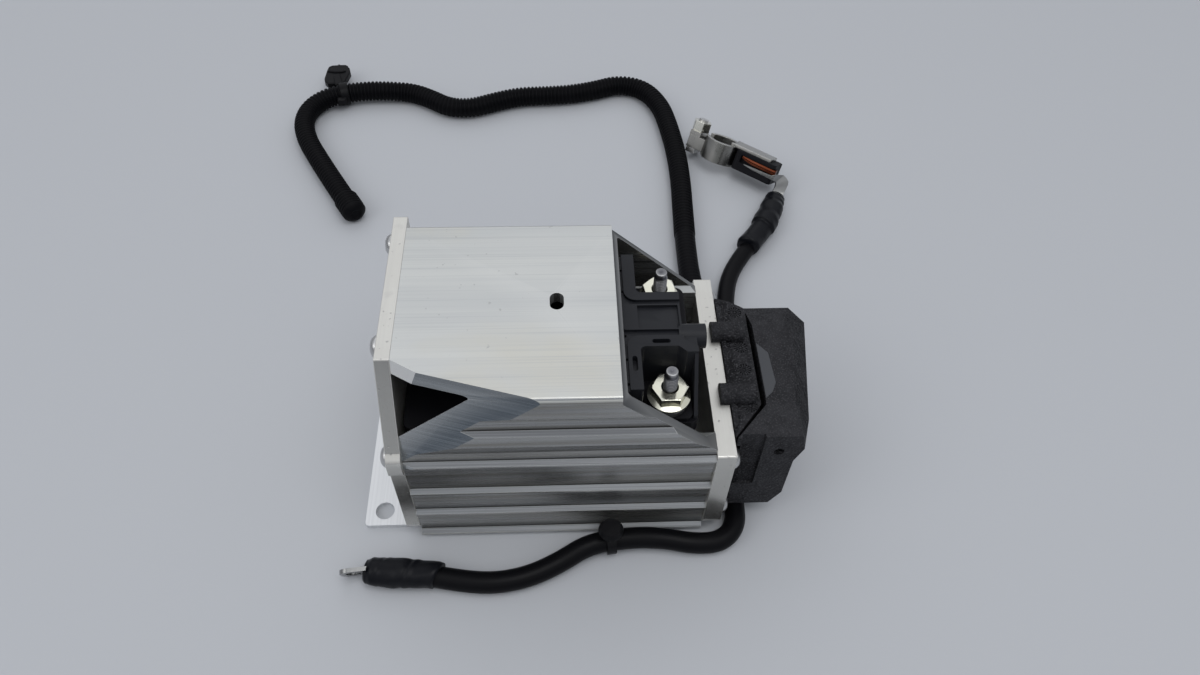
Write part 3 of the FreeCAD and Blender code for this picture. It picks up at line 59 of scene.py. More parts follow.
class Shader:
    """A material's node tree, built with short calls on one Principled surface."""

    def __init__(self, name, color, rough, metal=0.0, **sockets):
        self.material = bpy.data.materials.new(name)
        self.material.use_nodes = True
        self.tree = self.material.node_tree
        self.surface = self.tree.nodes["Principled BSDF"]
        self.put("Base Color", (*color, 1.0))
        self.put("Roughness", rough)
        self.put("Metallic", metal)
        for socket, value in sockets.items():
            self.put(socket.replace("_", " "), value)
        self.spot = self.node("TexCoord").outputs["Object"]

    def put(self, socket, value):
        """Set or link one socket of the surface."""
        self.fill(self.surface.inputs[socket], value)

    def fill(self, socket, value):
        if isinstance(value, bpy.types.NodeSocket):
            self.tree.links.new(value, socket)
        else:
            socket.default_value = value

    def node(self, kind, inputs=None, **settings):
        made = self.tree.nodes.new("ShaderNode" + kind)
        for name, value in settings.items():
            setattr(made, name, value)
        for name, value in (inputs or {}).items():
            self.fill(made.inputs[name], value)
        return made

    def spread(self, stretch):
        """Object coordinates scaled along each axis."""
        return self.node("VectorMath", {0: self.spot, 1: stretch}, operation="MULTIPLY").outputs[0]

    def noise(self, scale, stretch=(1.0, 1.0, 1.0), detail=3.0, vector=None):
        vector = vector or self.spread(stretch)
        return self.node("TexNoise", {"Vector": vector, "Scale": scale, "Detail": detail}).outputs["Fac"]

    def cells(self, scale, feature="F1"):
        inputs = {"Vector": self.spot, "Scale": scale}
        return self.node("TexVoronoi", inputs, feature=feature).outputs["Distance"]

    def span(self, value, low, high, first=0.0, last=1.0):
        """Map low..high smoothly onto first..last."""
        inputs = {"Value": value, "From Min": low, "From Max": high, "To Min": first, "To Max": last}
        return self.node("MapRange", inputs, interpolation_type="SMOOTHSTEP").outputs[0]

    def calc(self, operation, a, b=0.0):
        return self.node("Math", {0: a, 1: b}, operation=operation).outputs[0]

    def times(self, a, b):
        return self.calc("MULTIPLY", a, b)

    def dot(self, vector, along):
        return self.node("VectorMath", {0: vector, 1: along}, operation="DOT_PRODUCT").outputs["Value"]

    def mix(self, share, a, b):
        """Blend two colours; a share of 0 is all of the first."""
        a = a if isinstance(a, bpy.types.NodeSocket) else (*a, 1.0)
        b = b if isinstance(b, bpy.types.NodeSocket) else (*b, 1.0)
        return self.node("Mix", {0: share, 6: a, 7: b}, data_type="RGBA").outputs[2]

    def edges(self):
        """1 along outer edges, 0 on flats."""
        return self.span(self.node("NewGeometry").outputs["Pointiness"], 0.51, 0.56)

    def faces(self, normal, tight=0.995, fade=0.01):
        """1 where the surface faces along a direction."""
        facing = self.dot(self.node("NewGeometry").outputs["True Normal"], normal)
        return self.span(facing, tight - fade, tight)

    def lines(self, axis, levels, near, far):
        """1 within a distance of any of the levels along an axis, fading to 0."""
        place = self.dot(self.spot, axis)
        total = 0.0
        for level in levels:
            away = self.calc("ABSOLUTE", self.calc("SUBTRACT", place, level * MM))
            total = self.calc("MAXIMUM", total, self.span(away, near * MM, far * MM, 1.0, 0.0))
        return total

    def bump(self, height, depth):
        """Add relief of a depth in metres; each call goes over the one before."""
        link = self.surface.inputs["Normal"].links
        inputs = {"Height": height, "Distance": depth, "Strength": 1.0}
        if link:
            inputs["Normal"] = link[0].from_socket
        self.put("Normal", self.node("Bump", inputs).outputs[0])


# The two oblique cuts' legs along X, Y and Z from the tube's corner, and the ways its other facets face
SHAVE_LEGS = (57.9, 17.0, 49.1)
NOTCH_LEGS = (33.3, 20.2, 42.8)
SLANT_NORMAL = (0.682, 0.0, 0.731)
RIB_BEVEL = (0.0, -0.545, 0.838)
# Levels of the front wall's inner corners, where painted shade and dirt go, and of its ribs' lips, where
# painted shade goes
GROOVE_LEVELS = (5.5, 23.7, 41.6, 63.2, 85.0)
LIP_LEVELS = (20.6, 38.5, 60.0, 75.2, 94.6)
SAW_LONG = 12.0
SAW_FINE = 1600.0


def corner_normal(legs):
    """The way that a cut through the ends of three legs faces."""
    return tuple(Vector((-1 / legs[0], -1 / legs[1], 1 / legs[2])).normalized())


def drawn_skin(look, fine, broad, cloud):
    """Pale drawn aluminium with yellowish clouds, drawing lines and small dark marks."""
    color = look.mix(look.span(broad, 0.3, 0.7), (0.53, 0.545, 0.54), (0.62, 0.63, 0.61))
    color = look.mix(look.span(cloud, 0.5, 0.7, 0.0, 0.6), color, (0.6, 0.575, 0.48))
    color = look.mix(look.span(fine, 0.5, 0.75, 0.0, 0.4), color, (0.4, 0.42, 0.43))
    marks = look.noise(420.0, detail=2.0)
    return look.mix(look.span(marks, 0.71, 0.76, 0.0, 0.6), color, (0.32, 0.32, 0.32))


def ribbed_wall(look, color, front, fine):
    """The front's ribbed wall, painted darker as shade: brownish streaks that are drawing streaks and a
    painted reflection of the floor, painted shade and dirt in its corners, and painted shade under its
    lips.
    """
    streak = look.noise(1.0, (4.0, 10.0, 330.0))
    # The wall's colour is painted darker than the top as shade; its brownish streaks are drawing streaks
    # and a painted reflection of the floor.
    shaded_wall = look.mix(look.span(streak, 0.35, 0.65), (0.21, 0.2, 0.175), (0.33, 0.335, 0.34))
    shaded_wall = look.mix(look.span(fine, 0.4, 0.7, 0.0, 0.5), shaded_wall, (0.16, 0.16, 0.165))
    color = look.mix(look.times(front, 0.85), color, shaded_wall)
    # Painted shade and dirt along the wall's inner corners.
    grime_and_shade = look.times(look.lines(UP, GROOVE_LEVELS, 0.15, 0.8), front)
    color = look.mix(look.times(grime_and_shade, 0.85), color, (0.06, 0.055, 0.05))
    # Painted shade along the wall under its ribs' lips.
    lip_shade = look.times(look.lines(UP, LIP_LEVELS, 0.1, 0.5), front)
    return look.mix(look.times(lip_shade, 0.5), color, (0.12, 0.115, 0.11))


def saw_lines(look):
    """Fine lines on the long oblique cut, parallel to its upper edge."""
    along = Vector((SHAVE_LEGS[0], -SHAVE_LEGS[1], 0.0)).normalized()
    over = Vector(corner_normal(SHAVE_LEGS)).cross(along)
    places = {
        0: look.dot(look.spot, tuple(along * SAW_LONG)),
        1: look.dot(look.spot, tuple(over * SAW_FINE)),
    }
    return look.noise(1.0, detail=4.0, vector=look.node("CombineXYZ", places).outputs[0])


def extruded_aluminium():
    look = Shader("extruded_aluminium", (0.7, 0.71, 0.71), 0.4, 0.85)
    fine = look.noise(1.0, (9.0, 1500.0, 1500.0), 4.0)
    broad = look.noise(1.0, (5.0, 120.0, 120.0))
    cloud = look.noise(24.0, (0.6, 1.0, 1.0), 4.0)
    front = look.faces(FRONT, 0.9)
    color = ribbed_wall(look, drawn_skin(look, fine, broad, cloud), front, fine)
    cut = look.faces(corner_normal(SHAVE_LEGS))
    saw = saw_lines(look)
    # The long oblique cut is painted dark as shade, over its saw lines.
    sawn_and_shaded = look.mix(look.span(saw, 0.35, 0.7), (0.115, 0.135, 0.155), (0.2, 0.225, 0.25))
    color = look.mix(cut, color, sawn_and_shaded)
    # The notch's cut is painted pale as a highlight.
    color = look.mix(look.faces(corner_normal(NOTCH_LEGS)), color, (0.8, 0.8, 0.79))
    # The slanting cut is painted dark as shade, clouded.
    slant_shade = look.mix(look.span(cloud, 0.3, 0.7), (0.11, 0.115, 0.12), (0.16, 0.165, 0.17))
    color = look.mix(look.faces(SLANT_NORMAL), color, slant_shade)
    color = look.mix(look.times(look.edges(), 0.4), color, (0.8, 0.8, 0.78))
    # The ribs' upward bevels are painted darker as shade, streaked by the fine lines.
    ledge_shade = look.mix(look.span(fine, 0.3, 0.7), (0.13, 0.135, 0.145), (0.24, 0.25, 0.26))
    color = look.mix(look.times(look.faces(RIB_BEVEL, 0.99), 0.92), color, ledge_shade)
    look.put("Base Color", color)
    rough = look.mix(front, look.span(broad, 0.2, 0.8, 0.34, 0.42), look.span(broad, 0.2, 0.8, 0.2, 0.3))
    look.put("Roughness", look.calc("ADD", rough, look.span(fine, 0.3, 0.7, -0.02, 0.04)))
    look.bump(look.mix(cut, fine, saw), 0.00001)
    return look.material


def milled_aluminium():
    look = Shader("milled_aluminium", (0.75, 0.73, 0.68), 0.4, 0.88)
    grain = look.noise(900.0)
    cloud = look.noise(45.0, detail=4.0)
    brushed = look.noise(1.0, (1400.0, 14.0, 14.0))
    pits = look.noise(650.0, detail=1.0)
    stain = look.noise(110.0, detail=5.0)
    front = look.faces(FRONT, 0.9)
    color = look.mix(look.span(cloud, 0.35, 0.7), (0.5, 0.485, 0.44), (0.61, 0.6, 0.555))
    color = look.mix(look.span(brushed, 0.45, 0.75, 0.0, 0.3), color, (0.4, 0.39, 0.365))
    color = look.mix(look.span(pits, 0.72, 0.76, 0.0, 0.8), color, (0.22, 0.22, 0.22))
    color = look.mix(look.span(stain, 0.6, 0.72, 0.0, 0.4), color, (0.3, 0.29, 0.275))
    # Faces turned to the front are painted darker as shade, clouded.
    color = look.mix(look.times(front, look.span(cloud, 0.3, 0.7, 0.6, 0.4)), color, (0.2, 0.2, 0.19))
    look.put("Base Color", look.mix(look.times(look.edges(), 0.6), color, (0.9, 0.89, 0.85)))
    rough = look.mix(front, look.span(cloud, 0.3, 0.7, 0.34, 0.46), look.span(cloud, 0.3, 0.7, 0.16, 0.26))
    look.put("Roughness", rough)
    look.bump(grain, 0.00001)
    look.bump(look.span(pits, 0.72, 0.78, 1.0, 0.0), 0.00012)
    return look.material


def sheet_aluminium():
    look = Shader("sheet_aluminium", (0.78, 0.79, 0.8), 0.4, 0.85)
    roll = look.noise(1.0, (900.0, 14.0, 900.0))
    look.put("Base Color", look.mix(look.span(roll, 0.3, 0.7), (0.72, 0.73, 0.74), (0.82, 0.83, 0.84)))
    look.put("Roughness", look.span(roll, 0.3, 0.7, 0.34, 0.44))
    look.bump(roll, 0.00002)
    return look.material


def beaded_foam():
    look = Shader("beaded_foam", (0.02, 0.02, 0.022), 0.7, Specular_IOR_Level=0.15)
    bead_scale = 640.0
    bead = look.cells(bead_scale)
    crease_shade = look.cells(bead_scale, "DISTANCE_TO_EDGE")
    grit = look.noise(2400.0, detail=2.0)
    patch = look.noise(170.0, detail=4.0)
    specks = look.noise(1500.0, detail=1.0)
    color = look.mix(look.span(patch, 0.4, 0.6), (0.008, 0.008, 0.01), (0.022, 0.022, 0.025))
    # Painted shade in the creases between the beads.
    color = look.mix(look.span(crease_shade, 0.0, 0.1, 0.8, 0.0), color, (0.004, 0.004, 0.004))
    color = look.mix(look.span(specks, 0.57, 0.66, 0.0, 0.7), color, (0.075, 0.075, 0.08))
    look.put("Base Color", look.mix(look.times(look.edges(), 0.4), color, (0.05, 0.05, 0.055)))
    look.put("Roughness", look.span(grit, 0.3, 0.7, 0.55, 0.8))
    look.bump(look.span(bead, 0.0, 0.7, 1.0, 0.0), 0.0004)
    look.bump(grit, 0.00005)
    return look.material


def metal(name, low, high, rough, worn=(0.9, 0.9, 0.88)):
    """Metal clouded between two colours, with brighter worn edges."""
    look = Shader(name, low, rough, 1.0)
    grain_scale = 700.0
    grain = look.noise(grain_scale)
    cloud = look.noise(grain_scale / 9)
    color = look.mix(look.span(cloud, 0.3, 0.7), low, high)
    look.put("Base Color", look.mix(look.times(look.edges(), 0.5), color, worn))
    look.put("Roughness", look.span(cloud, 0.3, 0.7, rough * 0.8, rough * 1.2))
    look.bump(grain, 0.00002)
    return look.material


def plastic(name, color, rough, worn, gloss, grain_scale=1400.0, depth=0.00003):
    """Dark plastic or rubber, paler by worn where it is dusty and by twice that along its edges."""
    look = Shader(name, color, rough, Specular_IOR_Level=gloss)
    grain = look.noise(grain_scale, detail=2.0)
    dust = look.noise(60.0, detail=5.0)
    dusty, rubbed = (tuple(part + step * worn for part in color) for step in (1, 2))
    shade = look.mix(look.span(dust, 0.45, 0.75, 0.0, 0.6), color, dusty)
    look.put("Base Color", look.mix(look.times(look.edges(), 0.5), shade, rubbed))
    look.put("Roughness", look.span(dust, 0.3, 0.75, rough - 0.05, rough + 0.1))
    look.bump(grain, depth)
    return look.material


# Darker colour, lighter colour, roughness and, if not the usual, the worn edges' colour
METALS = {
    "screw_steel": ((0.5, 0.5, 0.5), (0.62, 0.62, 0.61), 0.32),
    "plated_steel": ((0.76, 0.74, 0.6), (0.86, 0.85, 0.72), 0.2),
    "terminal_metal": ((0.12, 0.12, 0.135), (0.22, 0.22, 0.235), 0.38),
    "tinned_copper": ((0.17, 0.175, 0.175), (0.26, 0.26, 0.255), 0.3, (0.45, 0.45, 0.44)),
    "tinned_brass": ((0.24, 0.24, 0.225), (0.36, 0.355, 0.335), 0.3, (0.62, 0.61, 0.58)),
    "bare_copper": ((0.1, 0.028, 0.014), (0.2, 0.062, 0.032), 0.34, (0.34, 0.13, 0.075)),
}
# Colour, roughness, wear, gloss and, if not the usual, the grain's scale and depth
BLACK = (0.0025, 0.0025, 0.0035)
PLASTICS = {
    "case_plastic": ((0.0055, 0.0055, 0.0075), 0.5, 0.005, 0.12),
    "cover_plastic": ((0.012, 0.013, 0.0165), 0.42, 0.005, 0.22),
    "smooth_foam": ((0.07, 0.073, 0.08), 0.6, 0.012, 0.2, 900.0, 0.00002),
    "conduit_plastic": (BLACK, 0.45, 0.002, 0.08),
    "cable_jacket": (BLACK, 0.4, 0.0015, 0.11, 900.0, 0.00002),
    "shrink_sleeve": ((0.0035, 0.004, 0.0062), 0.36, 0.003, 0.17, 500.0, 0.00006),
    "rubber": (BLACK, 0.5, 0.002, 0.09),
    "clip_plastic": ((0.0035, 0.0035, 0.0045), 0.36, 0.003, 0.13),
}
MATERIALS = {
    "extruded_aluminium": extruded_aluminium(),
    "milled_aluminium": milled_aluminium(),
    "sheet_aluminium": sheet_aluminium(),
    "foam": beaded_foam(),
}
for name, values in METALS.items():
    MATERIALS[name] = metal(name, *values)
for name, values in PLASTICS.items():
    MATERIALS[name] = plastic(name, *values)


# Pieces from the solids that keep their own shape, with their material and the width of their rounded edges

CAD_FINISH = {
    "housing_tube": ("extruded_aluminium", 0.22),
    "left_end_plate": ("milled_aluminium", 0.35),
    "right_end_plate": ("milled_aluminium", 0.35),
    "base_plate": ("sheet_aluminium", 0.25),
    "left_plate_screws": ("screw_steel", 0.15),
    "right_plate_screws": ("screw_steel", 0.15),
    "battery_case": ("case_plastic", 0.5),
    "front_flange_nut": ("plated_steel", 0.2),
    "back_flange_nut": ("plated_steel", 0.2),
    "terminal_cover": ("cover_plastic", 0.25),
    "foam_cap": ("foam", 0.6),
    "foam_guard": ("foam", 0.6),
    "cable_entry": ("case_plastic", 0.5),
    "cable_clip": ("clip_plastic", 0.25),
    "front_ring_tongue": ("tinned_copper", 0.2),
    "sensor_module": ("case_plastic", 0.35),
    "pole_clamp": ("tinned_brass", 0.3),
    "clamp_wedge": ("tinned_brass", 0.4),
    "clamp_bolt": ("screw_steel", 0.2),
    "clamp_nut": ("plated_steel", 0.2),
}
EDGE_ANGLE = 32
FINE_EDGES = {"housing_tube": 9}
WELD_REACH = 0.001
FLAT_ANGLE = 0.5


def paint(item, material):
    """Give every slot of a piece one of the part's materials."""
    if not item.material_slots:
        item.data.materials.append(MATERIALS[material])
    for place in item.material_slots:
        place.link = "OBJECT"
        place.material = MATERIALS[material]


def crisp(item, width, angle=EDGE_ANGLE):
    """Round the edges that turn by more than an angle a little, and shade the faces flat."""
    edge = item.modifiers.new("edge", "BEVEL")
    edge.width = width * MM
    edge.segments = 2
    edge.limit_method = "ANGLE"
    edge.angle_limit = math.radians(angle)
    item.modifiers.new("shade", "WEIGHTED_NORMAL")
    for polygon in item.data.polygons:
        polygon.use_smooth = True
    return item


def finish_solid(label, material, width):
    """Material and rounded edges for a CAD node, whose own mesh keeps its shape."""
    item = NODES[label]
    paint(item, material)
    weld = item.modifiers.new("weld", "WELD")
    weld.merge_threshold = WELD_REACH * MM
    flatten = item.modifiers.new("flatten", "DECIMATE")
    flatten.decimate_type = "DISSOLVE"
    flatten.angle_limit = math.radians(FLAT_ANGLE)
    crisp(item, width, FINE_EDGES.get(label, EDGE_ANGLE))


# Pieces made here: the calls that build them

def settle(item, slot, *stands_for, material=None):
    """Give a piece its material and body, and hide the solids that it stands for."""
    paint(item, material or slot)
    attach(item, "root")
    if stands_for:
        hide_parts(*stands_for)
    return item


def piece(name, vertices, faces, slot, *stands_for, material=None):
    mesh = bpy.data.meshes.new(name)
    mesh.from_pydata([Vector(v) * MM for v in vertices], [], faces)
    mesh.validate()
    for polygon in mesh.polygons:
        polygon.use_smooth = True
    item = bpy.data.objects.new(name, mesh)
    bpy.context.scene.collection.objects.link(item)
    return settle(item, slot, *stands_for, material=material)


def turns_of(count):
    """Evenly spaced angles once round."""
    return [2 * math.pi * i / count for i in range(count)]


def skin(rings):
    """Vertices and faces of a closed tube through rings of equally many points."""
    count = len(rings[0])
    vertices = [point for ring in rings for point in ring]
    faces = []
    for i in range(len(rings) - 1):
        for j in range(count):
            k = (j + 1) % count
            faces.append((i * count + j, i * count + k, (i + 1) * count + k, (i + 1) * count + j))
    faces.append(tuple(reversed(range(count))))
    faces.append(tuple(range((len(rings) - 1) * count, len(rings) * count)))
    return vertices, faces


def joined(parts):
    """One list of vertices and one of faces from several."""
    vertices, faces = [], []
    for more, sides in parts:
        start = len(vertices)
        vertices += more
        faces += [tuple(start + i for i in side) for side in sides]
    return vertices, faces


def shrunk(outline, inset):
    """An outline with its corners moved towards its middle."""
    count = len(outline)
    middle = Vector((sum(x for x, _ in outline) / count, sum(y for _, y in outline) / count))
    return [Vector(corner) + (middle - Vector(corner)).normalized() * inset for corner in outline]


# Cords: the routes of the solids' tubes, as control points of smooth curves

CONDUIT = [
    (158.7, 63.6, 6.3), (158.7, 90.0, 6.3), (155.6, 111.0, 6.3), (152.4, 134.0, 6.3), (152.6, 161.0, 6.3),
    (153.7, 188.0, 6.3), (155.0, 215.0, 6.3), (154.6, 240.0, 6.3), (152.2, 265.0, 6.3), (148.6, 287.0, 6.3),
    (138.8, 304.8, 6.3), (122.5, 310.4, 6.3), (106.0, 303.8, 6.3), (90.0, 299.8, 6.3), (73.0, 298.4, 6.3),
    (56.0, 297.6, 6.3), (40.5, 292.2, 6.3), (26.0, 286.0, 6.3), (11.0, 286.4, 6.3), (-1.5, 295.6, 6.3),
    (-14.5, 302.6, 6.3), (-31.0, 302.8, 7.6), (-48.0, 302.4, 7.6), (-66.5, 297.6, 7.6), (-77.6, 287.6, 6.3),
    (-80.4, 273.0, 6.3), (-75.6, 256.0, 6.3), (-65.6, 237.5, 6.3), (-52.8, 215.2, 6.3), (-43.8, 200.2, 6.3),
]
FRONT_CABLE = [
    (159.2, 17.6, 4.8), (159.2, -3.0, 4.8), (157.8, -13.6, 4.8), (150.6, -20.6, 4.8), (138.6, -21.2, 4.8),
    (125.5, -18.8, 6.1), (111.5, -17.9, 6.1), (92.0, -20.4, 6.1), (79.0, -28.2, 4.8), (66.0, -34.2, 4.8),
    (52.5, -36.8, 4.8), (39.0, -36.0, 4.8), (25.7, -33.2, 4.8),
]
SENSOR_CABLE = [
    (171.5, 63.6, 4.8), (171.5, 81.0, 4.8), (169.4, 100.0, 4.8), (170.0, 118.0, 4.8), (173.6, 134.5, 4.8),
    (180.2, 147.8, 4.8), (187.9, 158.6, 4.8),
]
CONDUIT_WIDE = 12.4
CABLE_WIDE = 9.4
SPLINE_STEPS = 16
HEADING_REACH = 0.5


def route(name, points):
    """A bare NURBS curve through a cord's control points."""
    data = bpy.data.curves.new(name, "CURVE")
    data.dimensions = "3D"
    spline = data.splines.new("NURBS")
    spline.points.add(len(points) - 1)
    for target, point in zip(spline.points, points):
        target.co = (*(Vector(point) * MM), 1.0)
    spline.order_u = 3
    spline.use_endpoint_u = True
    spline.resolution_u = SPLINE_STEPS
    item = bpy.data.objects.new(name, data)
    bpy.context.scene.collection.objects.link(item)
    return item


def sampled(item):
    """Points of a bare curve, in millimetres, and the length of the line up to each."""
    mesh = bpy.data.meshes.new_from_object(item)
    line = np.array([vertex.co for vertex in mesh.vertices], float) / MM
    bpy.data.meshes.remove(mesh)
    steps = np.linalg.norm(np.diff(line, axis=0), axis=1)
    return line, np.concatenate([[0.0], np.cumsum(steps)])


def at_length(line, along, value):
    return Vector([float(np.interp(value, along, line[:, axis])) for axis in range(3)])


def heading_at(line, along, value):
    ahead = at_length(line, along, min(value + HEADING_REACH, along[-1]))
    behind = at_length(line, along, max(value - HEADING_REACH, 0.0))
    return (ahead - behind).normalized()


def ring_at(centre, heading, radius, count=24):
    side = heading.cross(Vector(UP)).normalized()
    up = side.cross(heading).normalized()
    return [centre + side * (radius * math.cos(a)) + up * (radius * math.sin(a)) for a in turns_of(count)]


# One rib of the conduit, as shares of the pitch and drops below the full width; the tape levels them out
RIB_PITCH = 2.4
RIB = ((0.0, 0.9), (0.14, 0.78), (0.28, 0.12), (0.4, 0.0), (0.6, 0.0), (0.72, 0.12), (0.86, 0.78))
TAPED = 105.0
TAPE_DROP = 0.34
TAPE_SHARE = 0.1


def conduit_profile(length):
    """Places along the conduit, with how far its skin lies below the full width."""
    profile = [(0.0, TAPE_DROP)]
    start = 0.5 * RIB_PITCH
    while start < length - RIB_PITCH:
        for share, drop in RIB:
            place = start + share * RIB_PITCH
            profile.append((place, TAPE_DROP + TAPE_SHARE * drop if place < TAPED else drop))
        start += RIB_PITCH
    return profile + [(length, 0.0)]


def ribbed_conduit():
    """Corrugated conduit; its first stretch is under tape, with the ribs faintly through it."""
    curve = route("conduit_line", CONDUIT)
    line, along = sampled(curve)
    bpy.data.objects.remove(curve)
    rings = [
        ring_at(at_length(line, along, place), heading_at(line, along, place), CONDUIT_WIDE / 2 - drop)
        for place, drop in conduit_profile(along[-1])
    ]
    item = piece("ribbed_conduit", *skin(rings), "conduit_plastic", "conduit")
    return item, [tuple(Vector(point) * MM) for point in line], along[-1] * MM


def smooth_cable(name, points, node):
    item = route(name, points)
    _, along = sampled(item)
    item.data.bevel_depth = CABLE_WIDE / 2 * MM
    item.data.bevel_resolution = 6
    item.data.use_fill_caps = True
    return settle(item, "cable_jacket", node), along[-1] * MM


# The conduit's end piece, as distances past the conduit's end and radii: its lip, one rib and its nose
END_RISE = 0.9
END_SIDES = 48
END_LIP = [(0.0, 6.1), (0.1, 6.5), (0.4, 6.8)]
END_RIBS = 5
END_RIB_START = 0.6
END_RIB_PITCH = 2.2
END_RIB = [(0.0, 7.0), (0.6, 7.1), (1.0, 6.95), (1.3, 6.2), (1.7, 6.15), (2.05, 6.8)]
END_NOSE = [(11.6, 7.0), (12.3, 6.9), (13.1, 6.3), (13.9, 5.4), (14.6, 4.3), (15.0, 3.35), (14.8, 2.9),
            (14.1, 2.6), (13.9, 1.2)]


def end_frame(points):
    """A route's last point, the way it heads there and the way to its left."""
    end = Vector(points[-1])
    heading = (end - Vector(points[-2])).normalized()
    return end, heading, Vector(UP).cross(heading)


def ribbed_end():
    """Ribbed rubber end piece of the conduit, rounded over at its face."""
    end, heading, _ = end_frame(CONDUIT)
    centre = end + Vector(UP) * END_RISE
    profile = list(END_LIP)
    for i in range(END_RIBS):
        profile += [(END_RIB_START + END_RIB_PITCH * i + place, radius) for place, radius in END_RIB]
    profile += END_NOSE
    rings = [ring_at(centre + heading * place, heading, radius, END_SIDES) for place, radius in profile]
    return piece("conduit_end_piece", *skin(rings), "rubber", "conduit_bush")


# Stations of the shrink sleeves: distance past the cable's end, drift to the left, radius and flatness
FRONT_SLEEVE = [
    (-1.0, 0.0, 5.9, 0.0), (0.6, 0.05, 6.1, 0.0), (9.0, 0.9, 6.25, 0.1), (14.0, 1.4, 6.7, 0.1),
    (20.0, 2.0, 6.7, 0.15), (27.0, 2.7, 6.2, 0.1), (30.0, 3.0, 5.3, 0.1), (31.0, 3.1, 4.3, 0.1),
]
SENSOR_SLEEVE = [
    (-0.6, 0.0, 6.2, 0.0), (0.6, 0.0, 6.75, 0.0), (7.0, 0.0, 6.6, 0.05), (18.4, 0.1, 6.5, 0.08),
    (19.0, 0.1, 7.5, 0.08), (25.0, 0.7, 7.5, 0.1), (31.0, 1.6, 7.0, 0.12), (37.0, 2.9, 6.9, 0.14),
    (42.0, 4.2, 6.3, 0.18), (46.5, 5.4, 5.9, 0.22), (49.5, 6.3, 5.3, 0.28),
]
# Their folds: place along the sleeve, height, width and the turn that it faces
FRONT_FOLDS = (
    (9.0, 0.3, 0.9, 0.5), (12.6, -0.35, 0.8, 2.2), (17.5, 0.25, 1.1, 3.6), (23.0, -0.3, 0.9, 1.0),
    (26.0, 0.2, 0.8, 4.4),
)
SENSOR_FOLDS = (
    (9.0, -0.15, 2.0, 0.7), (24.0, 0.25, 1.4, 6.0), (29.5, -0.35, 2.2, 6.1), (35.0, 0.3, 1.6, 6.2),
    (41.0, -0.2, 1.6, 0.3),
)
# Ripples all over them: height, waves round, twist per millimetre and phase
RIPPLES = ((0.14, 3, 0.16, 0.0), (0.05, 7, -0.3, 1.3))
FOLD_LEAN = 1.6
FOLD_ALL_ROUND = 0.6
FRONT_SLANT = -1.6
SENSOR_SLANT = 0.8
SLEEVE_STEP = 0.45
SLEEVE_SIDES = 56
SLEEVE_RISE = 0.1
SKIN_DROP = 0.2
DRIFT_TURN = 0.04
EDGE_FADE = 1.5
SLANT_FADE = 12.0


def smooth_at(stations, value, column):
    """A smooth line through the stations' values in a column."""
    places = [row[0] for row in stations]
    place = np.interp(value, places, range(len(places)))
    low = min(int(place), len(places) - 2)
    share = place - low
    share = share * share * (3 - 2 * share)
    return stations[low][column] * (1 - share) + stations[low + 1][column] * share


def wrinkle(turn, place, folds):
    """How far a sleeve's skin stands out at a turn round it and a place along it."""
    out = 0.0
    for height, waves, twist, phase in RIPPLES:
        out += height * math.sin(waves * turn + twist * place + phase)
    for start, height, wide, facing in folds:
        lean = start + FOLD_LEAN * math.sin(turn - facing)
        share = FOLD_ALL_ROUND + (1 - FOLD_ALL_ROUND) * math.cos(turn - facing)
        out += height * math.exp(-((place - lean) / wide) ** 2) * share
    return out


def shrunk_sleeve(name, points, stations, slant, folds, node):
    """Wrinkled shrink sleeve in rings past a cable's end, with a slanting first edge."""
    end, heading, left = end_frame(points)
    first, last = stations[0][0], stations[-1][0]
    steps = int((last - first) / SLEEVE_STEP)
    rings = []
    for i in range(steps + 1):
        place = first + (last - first) * i / steps
        drift, radius, flat = (smooth_at(stations, place, column) for column in (1, 2, 3))
        ahead = (heading + left * drift * DRIFT_TURN).normalized()
        side = ahead.cross(Vector(UP)).normalized()
        rise = radius * (1 - flat) - CABLE_WIDE / 2 + SLEEVE_RISE
        centre = end + heading * place + left * drift + Vector(UP) * rise
        fade = min(1.0, (place - first) / EDGE_FADE, (last - place) / EDGE_FADE)
        forward = slant * max(0.0, 1 - (place - first) / SLANT_FADE)
        ring = []
        for turn in turns_of(SLEEVE_SIDES):
            reach = radius + fade * wrinkle(turn, place, folds) - SKIN_DROP
            across = side * (reach * math.cos(turn)) + Vector(UP) * (reach * (1 - flat) * math.sin(turn))
            ring.append(centre + ahead * (forward * math.cos(turn)) + across)
        rings.append(ring)
    return piece(name, *skin(rings), "shrink_sleeve", node)


# Clamp, lug and shunt; the clamp's own frame has x along its arm
CLAMP_FRAME = (Matrix.Translation((179.85, 234.6, 5.3)) @ Matrix.Rotation(math.radians(-38), 4, "Z")
               @ Matrix.Rotation(math.radians(-28), 4, "X"))
# Pairs of edge points of the lug: first in the clamp's frame, then in the part's
LUG_LIP = [
    ((19.0, -6.7, 6.1), (19.4, -6.7, 5.7)), ((24.0, -6.9, 6.3), (25.0, -6.9, 5.0)),
    ((38.0, -6.9, 6.9), (38.0, -6.9, 4.6)), ((40.5, -6.7, 8.6), (39.6, -6.9, 4.6)),
]
LUG_STRIP = [
    ((216.6, 211.6, 12.6), (211.2, 206.6, 11.8)), ((218.6, 209.8, 11.1), (211.3, 206.2, 11.2)),
    ((219.4, 208.6, 10.0), (211.2, 205.6, 10.4)), ((219.2, 207.3, 8.8), (210.9, 205.0, 9.2)),
    ((217.0, 203.6, 6.3), (209.3, 203.4, 6.4)), ((214.9, 200.9, 5.2), (207.9, 201.6, 5.3)),
]
LUG_THICK = 1.5
